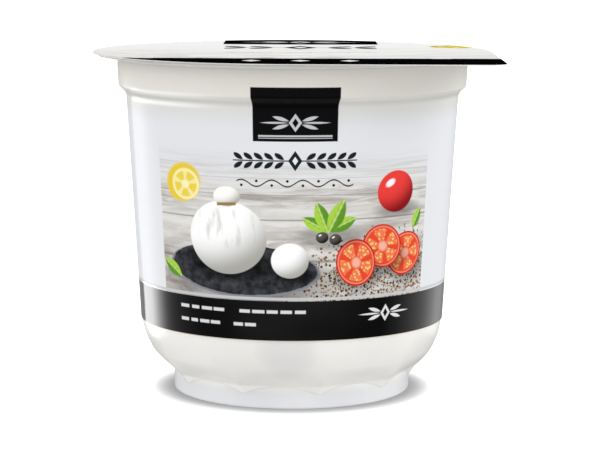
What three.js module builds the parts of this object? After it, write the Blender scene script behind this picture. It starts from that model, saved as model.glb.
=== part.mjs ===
// A shut pot of soft fresh cheese: a round moulded pot with a collar under its flange, a bowl that
// runs down in ten shallow flats to a foot ring, a printed film sleeve, and a sealed lid whose one
// squared corner is the pull tab. Millimetres, +Z up. The origin is the centre of the base, and the
// front of the print faces -Y.
import * as THREE from "three";

// Facets round every turned surface: a whole number for each flat of the bowl.
const FLATS = 10;
const FACETS_PER_FLAT = 8;
const FACETS = FLATS * FACETS_PER_FLAT;
const FIRST_RIDGE = THREE.MathUtils.degToRad(13); // from -Y towards +X, to the ridge nearest the front

// Lid
const LID_R = 47.5;
const LID_TOP = 81.3;
const LID_THICKNESS = 0.3;
const TAB_CORNER_R = 4.5;
const SEAL_GAP = 0.05; // between the lid and the flange, and between the sleeve and the wall

// Flange and collar
const FLANGE_R = 46.4;
const FLANGE_TOP = LID_TOP - LID_THICKNESS - SEAL_GAP;
const FLANGE_THICKNESS = 0.55;
const FLANGE_EDGE_R = 0.2;
const COLLAR_TOP_R = 41.7;
const COLLAR_FOOT_R = 41.3;
const COLLAR_FOOT_Z = 73.3;
const COLLAR_EDGE_R = 0.8;

// Wall, which leans out at a constant taper from the bowl to the shoulder
const WALL_R_AT_BASE = 35.13;
const WALL_TAPER = 0.0605;
const SHOULDER_Z = 71.6;
const SHOULDER_FILLET_R = 2.4;

// Bowl, measured along its ridges
const BOWL_BEND_Z = 11.7;
const BOWL_BEND_R = 17.2;
const BOWL_SLOPE = THREE.MathUtils.degToRad(41); // of its lowest stretch, from the vertical
const FLAT_DEPTH = 0.052; // of the radius, in the middle of a flat
const FLAT_FULL_Z = 5.2;
const FLAT_END_Z = 10.5; // above it the bowl is round

// Foot ring
const FOOT_R = 28.4;
const FOOT_EDGE_R = 0.7;
const FOOT_CUSP_Z = 3.3; // its top edge, where a ridge comes down on it
const FOOT_LEDGE_Z = 5.2; // its top edge, below the middle of a flat
const FOOT_LIP = 0.15; // height of the small bevel from that edge to the bowl
const RING_INNER_R = 25.2;
const RECESS_R = 24.4;
const RECESS_DEPTH = 1.5;

// Printed sleeve
const SLEEVE_THICKNESS = 0.2;
const SLEEVE_TOP = 79.6;

const wallRadius = (z) => WALL_R_AT_BASE + WALL_TAPER * z;
const point = (r, z) => new THREE.Vector2(r, z);

/** Points on a round corner that joins the lines a-b and b-c, from the first line to the second. */
function roundCorner(a, b, c, radius, steps) {
  const toA = a.clone().sub(b).normalize();
  const toC = c.clone().sub(b).normalize();
  const half = Math.acos(THREE.MathUtils.clamp(toA.dot(toC), -1, 1)) / 2;
  const centre = toA.clone().add(toC).normalize().multiplyScalar(radius / Math.sin(half)).add(b);
  const first = toA.clone().multiplyScalar(radius / Math.tan(half)).add(b).sub(centre);
  const last = toC.clone().multiplyScalar(radius / Math.tan(half)).add(b).sub(centre);
  const turn = Math.atan2(first.cross(last), first.dot(last));
  return Array.from({ length: steps + 1 }, (_, i) =>
    first.clone().rotateAround(new THREE.Vector2(), (turn * i) / steps).add(centre),
  );
}

/** The solid of a closed profile of (radius, height) points, turned about the Z axis. */
function turned(profile) {
  const geometry = new THREE.LatheGeometry(profile, FACETS, FIRST_RIDGE, 2 * Math.PI);
  return geometry.rotateX(Math.PI / 2);
}

/** 1 in the middle of a flat and 0 on a ridge, with a straight chord between two ridges. */
function flatness(angle) {
  const pitch = (2 * Math.PI) / FLATS;
  const turns = (angle - FIRST_RIDGE) / pitch;
  const offMiddle = (turns - Math.floor(turns) - 0.5) * pitch;
  const ridge = Math.cos(pitch / 2);
  return THREE.MathUtils.clamp((1 - ridge / Math.cos(offMiddle)) / (1 - ridge), 0, 1);
}

// The bowl's curve on a ridge, from the foot up to the straight wall.
const bowlFoot = point(FOOT_R, FOOT_CUSP_Z);
const bowlBend = point(wallRadius(BOWL_BEND_Z), BOWL_BEND_Z);
const bowlToe = point(bowlBend.x - Math.tan(BOWL_SLOPE) * (BOWL_BEND_Z - FOOT_CUSP_Z), FOOT_CUSP_Z);
const wallTop = point(wallRadius(SHOULDER_Z), SHOULDER_Z);
const collarFoot = point(COLLAR_FOOT_R, COLLAR_FOOT_Z);
const collarTop = point(COLLAR_TOP_R, FLANGE_TOP - FLANGE_THICKNESS);
const BOWL_STEPS = 7;
const bowlCurve = roundCorner(bowlToe, bowlBend, wallTop, BOWL_BEND_R, BOWL_STEPS);
const bowlTop = bowlCurve[bowlCurve.length - 1];

// The straight wall, the fillet into the shoulder, the shoulder, and the collar's rounded edge.
const FILLET_STEPS = 3;
const upperWall = [
  bowlTop,
  ...roundCorner(bowlTop, wallTop, collarFoot, SHOULDER_FILLET_R, FILLET_STEPS),
  ...roundCorner(wallTop, collarFoot, collarTop, COLLAR_EDGE_R, FILLET_STEPS),
];

/** The bowl's radius on a ridge at a height, read off its curve. */
function ridgeRadius(z) {
  const curve = [bowlToe, ...bowlCurve];
  const above = curve.findIndex((p, i) => i > 0 && p.y >= z);
  const high = curve[above < 0 ? curve.length - 1 : above];
  const low = curve[above < 0 ? curve.length - 2 : above - 1];
  return THREE.MathUtils.mapLinear(z, low.y, high.y, low.x, high.x);
}

/**
 * The pot, turned from its profile on a ridge. Its foot's top edge and the bowl above it then move
 * to their places round each flat: the edge rises and the bowl draws in towards the flat's middle.
 */
function potGeometry() {
  const flangeUnder = FLANGE_TOP - FLANGE_THICKNESS;
  const axisPoint = point(0, RECESS_DEPTH);
  const footCorner = point(FOOT_R, 0);
  const bowlStart = point(bowlToe.x, FOOT_CUSP_Z + FOOT_LIP);
  const profile = [
    axisPoint,
    point(RECESS_R, RECESS_DEPTH),
    point(RING_INNER_R, 0),
    ...roundCorner(point(0, 0), footCorner, bowlFoot, FOOT_EDGE_R, 2),
    bowlFoot,
    bowlStart,
    ...bowlCurve,
    ...upperWall.slice(1),
    collarTop,
    ...roundCorner(collarTop, point(FLANGE_R, flangeUnder), point(FLANGE_R, FLANGE_TOP), FLANGE_EDGE_R, 2),
    point(FLANGE_R, FLANGE_TOP),
    point(0, FLANGE_TOP),
  ];
  const geometry = turned(profile);
  const position = geometry.getAttribute("position");
  const tolerance = 1e-3;
  for (let i = 0; i < position.count; i += 1) {
    const [x, y, z] = [position.getX(i), position.getY(i), position.getZ(i)];
    const radius = Math.hypot(x, y);
    const inBowl = z > FOOT_CUSP_Z - tolerance && z < bowlTop.y + tolerance && radius > FOOT_R - tolerance;
    if (!inBowl) continue;
    const flat = flatness(Math.atan2(x, -y));
    const up = (z - FOOT_CUSP_Z) / (bowlTop.y - FOOT_CUSP_Z);
    const lifted = z + (FOOT_LEDGE_Z - FOOT_CUSP_Z) * flat * (1 - up);
    const fade = 1 - THREE.MathUtils.smoothstep(lifted, FLAT_FULL_Z, FLAT_END_Z);
    const onEdge = z < FOOT_CUSP_Z + tolerance;
    const moved = onEdge ? FOOT_R : ridgeRadius(lifted) * (1 - FLAT_DEPTH * flat * fade);
    position.setXYZ(i, (x / radius) * moved, (y / radius) * moved, lifted);
  }
  return geometry;
}

/** The sleeve, a thin shell that follows the wall, the shoulder and the collar. */
function sleeveGeometry() {
  const collarAt = THREE.MathUtils.mapLinear(SLEEVE_TOP, COLLAR_FOOT_Z, collarTop.y, COLLAR_FOOT_R, COLLAR_TOP_R);
  const route = [...upperWall, point(collarAt, SLEEVE_TOP)];
  const shifted = (offset) => route.map((p) => point(p.x + offset, p.y));
  const outer = shifted(SEAL_GAP + SLEEVE_THICKNESS);
  const inner = shifted(SEAL_GAP).reverse();
  return turned([...outer, ...inner, outer[0]]);
}

/** The lid's outline: a circle whose front right quarter is filled out to a rounded square corner. */
function lidGeometry() {
  const corner = roundCorner(
    point(0, -LID_R),
    point(LID_R, -LID_R),
    point(LID_R, 0),
    TAB_CORNER_R,
    6,
  );
  const rimSteps = (FACETS * 3) / 4;
  const rim = new THREE.EllipseCurve(0, 0, LID_R, LID_R, 0, 1.5 * Math.PI).getPoints(rimSteps);
  const outline = new THREE.Shape([...rim, ...corner]);
  const geometry = new THREE.ExtrudeGeometry(outline, { depth: LID_THICKNESS, bevelEnabled: false });
  return geometry.translate(0, 0, LID_TOP - LID_THICKNESS);
}

/** A named mesh in its own plastic. */
function piece(name, geometry, color, roughness) {
  const material = new THREE.MeshStandardMaterial({ color, roughness, metalness: 0 });
  const mesh = new THREE.Mesh(geometry, material);
  mesh.name = name;
  return mesh;
}

const cheesePot = new THREE.Group();
cheesePot.add(
  piece("pot", potGeometry(), 0xe4e1da, 0.35),
  piece("sleeve", sleeveGeometry(), 0xe9e9ea, 0.25),
  piece("lid", lidGeometry(), 0xdcdcdb, 0.3),
);

export default cheesePot;
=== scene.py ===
"""A shut pot of soft fresh cheese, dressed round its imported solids.

Three pieces stand for the three solids: the moulded pot, the printed film sleeve round it, and the printed
sealing film on top. Shapes are worked out in millimetres and written to their meshes in metres, with +Z up,
the origin at the centre of the base and the front of the print towards -Y. Angles round the pot start at -Y
and grow towards +X.
"""

import logging
import math
from collections.abc import Callable, Mapping, Sequence
from dataclasses import dataclass
from enum import Enum

import bpy
import numpy as np
from mathutils import Matrix, Vector


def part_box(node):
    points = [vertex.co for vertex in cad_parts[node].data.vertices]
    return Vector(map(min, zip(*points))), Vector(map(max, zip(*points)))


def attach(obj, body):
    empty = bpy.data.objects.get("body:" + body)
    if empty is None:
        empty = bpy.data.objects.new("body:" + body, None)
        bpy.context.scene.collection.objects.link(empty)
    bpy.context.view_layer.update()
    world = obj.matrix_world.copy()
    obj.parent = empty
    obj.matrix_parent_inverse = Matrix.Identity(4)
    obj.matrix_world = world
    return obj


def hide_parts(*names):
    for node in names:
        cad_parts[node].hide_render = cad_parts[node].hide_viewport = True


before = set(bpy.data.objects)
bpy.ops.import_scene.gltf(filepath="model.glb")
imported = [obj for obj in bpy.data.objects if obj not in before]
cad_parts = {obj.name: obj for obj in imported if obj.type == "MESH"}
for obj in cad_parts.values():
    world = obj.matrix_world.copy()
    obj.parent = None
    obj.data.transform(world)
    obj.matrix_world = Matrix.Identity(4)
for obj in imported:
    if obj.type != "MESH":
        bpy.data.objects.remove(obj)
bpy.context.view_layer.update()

LOG = logging.getLogger("pot")
MM = 0.001
FULL_TURN = 360.0
SAME_POINT = 1e-6
FINE_EDGE = 0.15
BAKE_MAP = "OFBake"

# From the first corner of a grid's face to each of its four, in columns and in rows.
COLUMNS_ON = np.array([0, 1, 1, 0])
ROWS_ON = np.array([0, 0, 1, 1])

Colour = tuple[float, float, float, float]
Triple = tuple[float, float, float]
Pair = tuple[float, float]
Inks = tuple[str, str]


class Slot(Enum):
    """The record's material slots."""

    POT = "pot_plastic"
    SLEEVE = "sleeve_film"
    LID = "lid_film"


class Ink(str, Enum):
    """Inks and plastics, and a few painted shades and lights, as six hexadecimal digits of screen colour."""

    BLACK = "040405"
    BADGE = "08080a"
    SILVER = "c4c5c8"
    SILVER_LINE = "c6c7ca"
    ORNAMENT = "e2e2e4"
    PALE_DASH = "dcdcdf"
    PALE_MARK = "d6d6d9"
    GREY_DASH = "4a4d52"
    CREAM = "e2d3bd"
    WHITE = "ffffff"
    GARLAND = "1b2026"
    GARLAND_HEART = "e6e7ea"
    SHADOW = "4c4844"
    LEAF = "a6d046"
    LEAF_DARK = "5c9329"
    LEAF_RIB = "dbe8a6"
    OLIVE = "54514a"
    OLIVE_DARK = "16130f"
    RED_FRUIT = "e8403a"
    RED_FRUIT_DARK = "86121a"
    RED_SEED = "f3cf7a"
    YELLOW_FRUIT = "e8c93c"
    LID_FRUIT = "bdae2c"
    PLANK = "e2e0dd"
    PLANK_GRAIN = "a59e96"
    PLANK_STREAK = "e4e3e0"
    PLANK_JOINT = "6f665c"
    PEPPER = "a37b4a"
    PEPPER_DARK = "231a12"
    SLATE = "484a4f"
    SLATE_DARK = "1f2022"
    SLATE_EDGE = "85878d"
    CHEESE_DARK = "a9a8a3"
    CHEESE_CREASE = "b9b4aa"
    SMALL_CHEESE_DARK = "aeada8"
    KNOT = "fdfcf8"
    KNOT_DARK = "b3b0a8"
    STRING = "9a7b48"
    BOWL = "f3f1ed"
    BOWL_CLOUD = "eeede9"
    # Painted shade for the front of the bowl.
    BOWL_PAINTED_SHADE = "e5e4e3"
    FOOT = "e5e6e8"
    FOOT_CLOUD = "e0e1e4"
    # Painted light for the teeth under the bowl's crease.
    TEETH_PAINTED_LIGHT = "fbf8f2"
    # Painted shade for the flange's rim.
    RIM_PAINTED_SHADE = "d2d1cd"
    SLEEVE_LOW = "e3e5e9"
    # Painted shade on the film: greyer towards the top of the wall, and over the shoulder.
    SLEEVE_PAINTED_SHADE_HIGH = "dddddb"
    SLEEVE_SHOULDER_PAINTED_SHADE = "d6d5ce"
    SLEEVE_COLLAR = "e4e2db"
    SLEEVE_CLOUD = "c8c8c8"
    BARE_FILM = "dededb"
    BARE_FILM_CLOUD = "d6d5d2"
    LID_FILM = "f6f5f3"
    LID_FILM_CLOUD = "f0efed"


@dataclass(frozen=True)
class SliceInks:
    """The inks of a slice of fruit, from its skin inwards."""

    skin: str
    rind: str
    flesh: str
    chamber: str
    core: str


RED_SLICE = SliceInks("c3211d", "ef8a6c", "e4492f", "f07a52", "f4b49a")
YELLOW_SLICE = SliceInks("f3e38a", "faf3c4", "f6e9a0", "ecd24e", "faf3c4")
LID_SLICE = SliceInks("c8bb3c", "e6dd94", "d6cb5a", "b8a824", "e6dd94")
LEAF_INKS = (Ink.LEAF, Ink.LEAF_DARK)


# ---------------------------------------------------------------------------------------------- shapes


def heading(turn: float) -> Pair:
    """The cosine and the sine of an angle in degrees."""
    return math.cos(math.radians(turn)), math.sin(math.radians(turn))


def clamp_step(value: np.ndarray, low: float, high: float) -> np.ndarray:
    """A smooth step: 0 up to low, 1 from high, and the cubic 3t^2 - 2t^3 between.

    Args:
        value: where the step is read.
        low: where it leaves 0.
        high: where it reaches 1.

    Returns:
        The step at each value.
    """
    t = np.clip((value - low) / (high - low), 0.0, 1.0)
    return t * t * (3.0 - 2.0 * t)


def round_corner(a: Pair, b: Pair, c: Pair, radius: float, steps: int) -> np.ndarray:
    """The arc that rounds corner b between the lines a-b and b-c.

    The centre lies on the corner's bisector, at radius / sin(half the corner's angle) from b, and the arc
    turns about it from where it leaves the first line to where it meets the second.

    Args:
        a: a point on the first line.
        b: the corner.
        c: a point on the second line.
        radius: the arc's radius.
        steps: how many chords it has.

    Returns:
        The arc's points, as rows of (radius, height).
    """
    corner = np.array(b, float)
    to_a = np.array(a, float) - corner
    to_c = np.array(c, float) - corner
    to_a /= np.linalg.norm(to_a)
    to_c /= np.linalg.norm(to_c)
    half = math.acos(float(np.clip(to_a @ to_c, -1.0, 1.0))) / 2.0
    bisector = to_a + to_c
    bisector /= np.linalg.norm(bisector)
    centre = corner + bisector * radius / math.sin(half)
    first = corner + to_a * radius / math.tan(half) - centre
    last = corner + to_c * radius / math.tan(half) - centre
    turn = math.atan2(first[0] * last[1] - first[1] * last[0], float(first @ last))
    angle = np.linspace(0.0, turn, steps + 1)[:, None]
    across = np.array([-first[1], first[0]])
    return centre + first * np.cos(angle) + across * np.sin(angle)


def straight(a: Pair, b: Pair, steps: int) -> np.ndarray:
    """The points of a line from a to b, both ends included, in even steps."""
    return np.linspace(np.array(a, float), np.array(b, float), steps + 1)


def joined(*runs: np.ndarray) -> np.ndarray:
    """Runs of points end to end, without the points that repeat the one before."""
    points = np.concatenate(runs)
    kept = np.ones(len(points), bool)
    kept[1:] = np.linalg.norm(np.diff(points, axis=0), axis=1) > SAME_POINT
    return points[kept]


def run_length(points: np.ndarray) -> np.ndarray:
    """The distance along a run of points, from its first point to each."""
    steps = np.linalg.norm(np.diff(points, axis=0), axis=1)
    return np.concatenate([[0.0], np.cumsum(steps)])


def turned(radius: np.ndarray, height: np.ndarray, angle: np.ndarray) -> np.ndarray:
    """Points round the axis: x = r sin(angle), y = -r cos(angle), z = height.

    Args:
        radius: radii on a grid of rows by columns.
        height: heights on the same grid.
        angle: each column's angle in degrees, from -Y towards +X.

    Returns:
        The points, rows by columns by 3.
    """
    radians = np.radians(angle)[None, :]
    return np.stack([radius * np.sin(radians), -radius * np.cos(radians), height], axis=-1)


@dataclass
class TurnedSurface:
    """A closed surface on a grid whose columns run once round the axis.

    Rows run up the outside, so that faces point outwards. Either the last row joins the first, or both
    ends close on a pole.
    """

    name: str
    points: np.ndarray
    poles: tuple[float, float] | None = None
    bake_map: np.ndarray | None = None
    pole_maps: tuple[np.ndarray, np.ndarray] | None = None
    row_materials: np.ndarray | None = None
    sharp_above: float = 38.0

    def quads(self) -> np.ndarray:
        """Faces between neighbouring rows and columns, anticlockwise seen from outside.

        Each runs from its row and column to the next column, up to the next row, and back over its start.

        Returns:
            Four corners for each face.
        """
        rows, columns = self.points.shape[:2]
        bands = rows if self.poles is None else rows - 1
        below = np.arange(bands)[:, None] * columns
        above = np.arange(1, bands + 1)[:, None] % rows * columns
        column = np.arange(columns)[None, :]
        beside = (column + 1) % columns
        corners = [below + column, below + beside, above + beside, above + column]
        return np.stack(corners, axis=-1).reshape(-1, 4)

    def fans(self) -> np.ndarray:
        """Triangles from each pole to its nearest row, the first pole's wound the other way."""
        if self.poles is None:
            return np.zeros((0, 3), int)
        rows, columns = self.points.shape[:2]
        column = np.arange(columns)
        beside = (column + 1) % columns
        first = np.stack([np.full(columns, rows * columns), beside, column], axis=-1)
        top = (rows - 1) * columns
        last = np.stack([top + column, top + beside, np.full(columns, rows * columns + 1)], axis=-1)
        return np.concatenate([first, last])

    def build(self) -> bpy.types.Object:
        """Writes the mesh, in metres, and links its object at the origin."""
        vertices = self.points.reshape(-1, 3)
        if self.poles is not None:
            ends = np.array([[0.0, 0.0, z] for z in self.poles])
            vertices = np.concatenate([vertices, ends])
        quads = self.quads()
        fans = self.fans()
        corners = np.concatenate([quads.ravel(), fans.ravel()]).astype(np.int32)
        starts = np.concatenate([np.arange(len(quads)) * 4, quads.size + np.arange(len(fans)) * 3])
        mesh = bpy.data.meshes.new(self.name)
        mesh.vertices.add(len(vertices))
        mesh.vertices.foreach_set("co", (vertices * MM).astype(np.float32).ravel())
        mesh.loops.add(len(corners))
        mesh.loops.foreach_set("vertex_index", corners)
        mesh.polygons.add(len(starts))
        mesh.polygons.foreach_set("loop_start", starts.astype(np.int32))
        mesh.update(calc_edges=True)
        mesh.polygons.foreach_set("use_smooth", np.ones(len(starts), bool))
        if self.row_materials is not None:
            columns = self.points.shape[1]
            of_faces = np.repeat(self.row_materials, columns)
            ends = np.repeat(self.row_materials[[0, -1]], columns) if len(fans) else of_faces[:0]
            mesh.polygons.foreach_set("material_index", np.concatenate([of_faces, ends]).astype(np.int32))
        if self.bake_map is not None:
            parts = [self.bake_map.reshape(-1, 2)]
            if self.pole_maps is not None:
                parts += [ends_map.reshape(-1, 2) for ends_map in self.pole_maps]
            layer = mesh.uv_layers.new(name=BAKE_MAP)
            layer.uv.foreach_set("vector", np.concatenate(parts).astype(np.float32).ravel())
        mesh.set_sharp_from_angle(angle=math.radians(self.sharp_above))
        mesh.validate()
        made = bpy.data.objects.new(self.name, mesh)
        bpy.context.scene.collection.objects.link(made)
        return made


@dataclass(frozen=True)
class Mould:
    """The pot's outline in millimetres, shared by the pot and by the sleeve that follows it."""

    flats: int = 10
    first_ridge: float = 13.0
    wall_r_at_base: float = 35.13
    wall_taper: float = 0.0605
    shoulder_z: float = 71.6
    shoulder_fillet: float = 2.4
    collar_foot: Pair = (41.3, 73.3)
    collar_top: Pair = (41.7, 80.4)
    collar_edge: float = 0.8
    bowl_bend_z: float = 11.7
    bowl_bend: float = 17.2
    bowl_slope: float = 41.0
    foot_r: float = 28.4
    foot_cusp_z: float = 3.3

    def wall_r(self, z: float) -> float:
        """The straight wall's radius, which grows evenly with height."""
        return self.wall_r_at_base + self.wall_taper * z

    def wall_top(self) -> Pair:
        """Where the straight wall would meet the shoulder, before its fillet."""
        return self.wall_r(self.shoulder_z), self.shoulder_z

    def bowl_curve(self, steps: int) -> np.ndarray:
        """The bowl's outline on a ridge: straight off the foot, then an arc into the wall.

        Args:
            steps: how many chords the arc has.

        Returns:
            Rows of (radius, height), from the foot upwards.
        """
        bend = (self.wall_r(self.bowl_bend_z), self.bowl_bend_z)
        rise = self.bowl_bend_z - self.foot_cusp_z
        toe = (bend[0] - math.tan(math.radians(self.bowl_slope)) * rise, self.foot_cusp_z)
        arc = round_corner(toe, bend, self.wall_top(), self.bowl_bend, steps)
        return np.concatenate([[toe], arc])

    def upper_wall(self, wall_steps: int, arc_steps: int) -> np.ndarray:
        """The outline from the top of the bowl to the collar: wall, fillet, shoulder, collar's edge.

        Args:
            wall_steps: how many steps the straight wall has.
            arc_steps: how many chords each arc has.

        Returns:
            Rows of (radius, height), upwards.
        """
        start = tuple(self.bowl_curve(arc_steps)[-1])
        fillet = round_corner(start, self.wall_top(), self.collar_foot, self.shoulder_fillet, arc_steps)
        edge = round_corner(self.wall_top(), self.collar_foot, self.collar_top, self.collar_edge, arc_steps)
        return joined(straight(start, tuple(fillet[0]), wall_steps), fillet, edge)

    def flatness(self, angle: np.ndarray, softness: float) -> np.ndarray:
        """How far round a flat each angle is: 1 in its middle, 0 on a ridge, rounded over the ridge.

        A chord's depth below its arc, 1 - cos(half pitch) / cos(angle off the middle), is taken as a share
        of its greatest, and sqrt(share^2 + softness^2) rounds off its corner on the ridge.

        Args:
            angle: degrees round the pot.
            softness: how wide the rounding is, as a share of the greatest depth.

        Returns:
            The flatness at each angle.
        """
        pitch = FULL_TURN / self.flats
        turns = (angle - self.first_ridge) / pitch
        off_middle = np.radians((turns - np.floor(turns) - 0.5) * pitch)
        ridge = math.cos(math.radians(pitch / 2.0))
        share = np.clip((1.0 - ridge / np.cos(off_middle)) / (1.0 - ridge), 0.0, 1.0)
        top = math.hypot(1.0, softness) - softness
        return (np.hypot(share, softness) - softness) / top


# --------------------------------------------------------------------------------------------- shaders


def operator(operation: str, from_right: bool = False) -> Callable[..., "Wire"]:
    """A method for Wire that adds one Math node.

    Args:
        operation: the node's operation.
        from_right: whether the wire comes last, as the mask does in 1 - mask.

    Returns:
        The method, which takes the other value if there is one.
    """

    def apply(self: "Wire", *others: "Value") -> "Wire":
        """The operation on this value and the other."""
        return self.shader.maths(operation, *((*others, self) if from_right else (self, *others)))

    return apply


@dataclass(frozen=True)
class Wire:
    """The value of a socket, on which Python's operators add Math nodes.

    A remainder is never negative. Floor is the whole number below and past is what is left over it, least
    and most are the smaller and the larger of two, and the sine is of radians.
    """

    shader: "Shader"
    socket: bpy.types.NodeSocket

    __add__ = operator("ADD")
    __radd__ = operator("ADD", from_right=True)
    __sub__ = operator("SUBTRACT")
    __rsub__ = operator("SUBTRACT", from_right=True)
    __mul__ = operator("MULTIPLY")
    __rmul__ = operator("MULTIPLY", from_right=True)
    __truediv__ = operator("DIVIDE")
    __rtruediv__ = operator("DIVIDE", from_right=True)
    __mod__ = operator("FLOORED_MODULO")
    __rmod__ = operator("FLOORED_MODULO", from_right=True)
    __abs__ = operator("ABSOLUTE")
    floor = operator("FLOOR")
    past = operator("FRACT")
    sin = operator("SINE")
    least = operator("MINIMUM")
    most = operator("MAXIMUM")

    def over(self, edge: float, blur: float) -> "Wire":
        """A smooth step from 0 below the edge to 1 above it, blurred over that width."""
        return self.shader.step(self, edge - blur / 2.0, edge + blur / 2.0)

    def under(self, edge: float, blur: float) -> "Wire":
        """A smooth step from 1 below the edge to 0 above it, blurred over that width."""
        return self.shader.step(self, edge + blur / 2.0, edge - blur / 2.0)


Value = Wire | float


def ink(code: str) -> Colour:
    """An ink's linear colour from six hexadecimal digits of screen colour.

    Each channel c becomes c / 12.92 when dark and ((c + 0.055) / 1.055)^2.4 otherwise.

    Args:
        code: red, green and blue, two digits each.

    Returns:
        The colour, with an alpha of 1.
    """
    channels = [int(code[i : i + 2], 16) / 255.0 for i in (0, 2, 4)]
    linear = [c / 12.92 if c <= 0.04045 else ((c + 0.055) / 1.055) ** 2.4 for c in channels]
    return (linear[0], linear[1], linear[2], 1.0)


def grey(level: float) -> Colour:
    """A neutral colour of that brightness."""
    return (level, level, level, 1.0)


class Shader:
    """Builds a node tree: the one place that adds nodes and joins them."""

    def __init__(self, tree: bpy.types.NodeTree) -> None:
        """Starts on an empty tree.

        Args:
            tree: a material's or a world's node tree.
        """
        self.tree = tree
        self.tree.nodes.clear()

    def node(
        self,
        kind: str,
        settings: Mapping[str, object] | None = None,
        sockets: Mapping[str | int, object] | None = None,
    ) -> bpy.types.Node:
        """Adds a node.

        Args:
            kind: the node's type.
            settings: its own settings, set first; "stops" are a ramp's (place, colour) pairs.
            sockets: what its inputs hold, each a Wire to join, an ink's code, or a value to set.

        Returns:
            The node.
        """
        made = self.tree.nodes.new(kind)
        for name, value in (settings or {}).items():
            if name == "stops":
                self._set_stops(made.color_ramp, value)
            else:
                setattr(made, name, value)
        for name, value in (sockets or {}).items():
            if isinstance(value, Wire):
                self.tree.links.new(value.socket, made.inputs[name])
            else:
                made.inputs[name].default_value = ink(value) if isinstance(value, str) else value
        return made

    @staticmethod
    def _set_stops(ramp: bpy.types.ColorRamp, stops: Sequence[tuple[float, Colour]]) -> None:
        """Gives a ramp its stops, in order."""
        while len(ramp.elements) < len(stops):
            ramp.elements.new(1.0)
        for element, (place, colour) in zip(ramp.elements, stops):
            element.position = place
            element.color = colour

    def wire(self, node: bpy.types.Node, output: str | int = 0) -> Wire:
        """One of a node's outputs."""
        return Wire(self, node.outputs[output])

    def end(
        self, kind: str, sockets: Mapping[str | int, object], output: str = "ShaderNodeOutputMaterial"
    ) -> None:
        """Ends the tree in a shader of that type, with those sockets, joined to the output."""
        last = self.node(kind, None, sockets)
        self.tree.links.new(last.outputs[0], self.node(output).inputs["Surface"])

    def maths(self, operation: str, *values: Value) -> Wire:
        """A Math node on numbers."""
        return self.wire(self.node("ShaderNodeMath", {"operation": operation}, dict(enumerate(values))))

    def vector(self, operation: str, *values: object, output: int = 0) -> Wire:
        """A Vector Math node; a length is its second output."""
        made = self.node("ShaderNodeVectorMath", {"operation": operation}, dict(enumerate(values)))
        return self.wire(made, output)

    def mix(self, share: Value, first: object, second: object, blend: str = "MIX") -> Wire:
        """A colour that is the first where the share is 0, and its blend with the second where it is 1."""
        settings = {"data_type": "RGBA", "blend_type": blend}
        return self.wire(self.node("ShaderNodeMix", settings, {0: share, 6: first, 7: second}), 2)

    def multiply(self, share: Value, first: object, second: object) -> Wire:
        """A colour multiplied by another, by that share."""
        return self.mix(share, first, second, "MULTIPLY")

    def scaled(self, colour: Wire, times: float) -> Wire:
        """A colour made that many times as bright."""
        return self.vector("MULTIPLY", colour, (times, times, times))

    def spread(
        self, value: Value, low: float, high: float, first: float, last: float, kind: str = "LINEAR"
    ) -> Wire:
        """A value carried from first at low to last at high, and kept between them."""
        sockets = {"Value": value, "From Min": low, "From Max": high, "To Min": first, "To Max": last}
        return self.wire(self.node("ShaderNodeMapRange", {"interpolation_type": kind}, sockets))

    def step(self, value: Value, low: float, high: float, first: float = 0.0, last: float = 1.0) -> Wire:
        """A smooth step of a value, from first at low to last at high."""
        return self.spread(value, low, high, first, last, "SMOOTHSTEP")

    def squares(self, x: Wire, y: Wire) -> Wire:
        """The sum of two squares."""
        return self.maths("MULTIPLY_ADD", x, x, y * y)

    def lot(self, seed: Wire) -> Wire:
        """A number from 0 to 1, drawn anew for each seed."""
        return self.wire(self.node("ShaderNodeTexWhiteNoise", {"noise_dimensions": "1D"}, {"W": seed}))

    def parts(self, place: Wire) -> tuple[Wire, Wire, Wire]:
        """A vector's three numbers."""
        made = self.node("ShaderNodeSeparateXYZ", None, {0: place})
        return self.wire(made, 0), self.wire(made, 1), self.wire(made, 2)

    def joined(self, x: Value, y: Value, z: Value = 0.0) -> Wire:
        """A vector of three numbers."""
        return self.wire(self.node("ShaderNodeCombineXYZ", None, {0: x, 1: y, 2: z}))

    def carried(self, place: Wire, centre: Pair, scale: Pair) -> Wire:
        """A flat place read in a frame of its own.

        Args:
            place: the place, as a vector.
            centre: the frame's middle.
            scale: the lengths of its two units.

        Returns:
            The place in that frame.
        """
        sockets = {"Vector": place, "Location": (*centre, 0.0), "Scale": (*scale, 1.0)}
        return self.wire(self.node("ShaderNodeMapping", {"vector_type": "TEXTURE"}, sockets))

    def noise(
        self, place: Wire, size: float, detail: float = 2.0, rough: float = 0.5, warp: float = 0.0
    ) -> Wire:
        """Cloud noise from 0 to 1.

        Args:
            place: where it is read.
            size: the width of its blobs, in the place's units.
            detail: how many finer layers lie on it.
            rough: how strong the finer layers are.
            warp: how far it is folded on itself.

        Returns:
            The noise.
        """
        layers = {"Detail": detail, "Roughness": rough, "Distortion": warp}
        sockets = {"Vector": place, "Scale": 1.0 / size, **layers}
        return self.wire(self.node("ShaderNodeTexNoise", None, sockets))

    def cells(self, place: Wire, size: float) -> bpy.types.Node:
        """A flat pattern of cells of that width, with each place's distance from its cell's middle."""
        sockets = {"Vector": place, "Scale": 1.0 / size}
        return self.node("ShaderNodeTexVoronoi", {"voronoi_dimensions": "2D"}, sockets)

    def object_place(self) -> Wire:
        """The place on the object, in millimetres."""
        made = self.node("ShaderNodeTexCoord")
        return self.vector("MULTIPLY", self.wire(made, "Object"), (1 / MM, 1 / MM, 1 / MM))

    def bump(self, height: Wire, depth: float) -> Wire:
        """A normal tipped by a height that runs from 0 to 1 over a depth in millimetres."""
        sockets = {"Strength": 1.0, "Distance": depth * MM, "Height": height}
        return self.wire(self.node("ShaderNodeBump", None, sockets))


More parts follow.
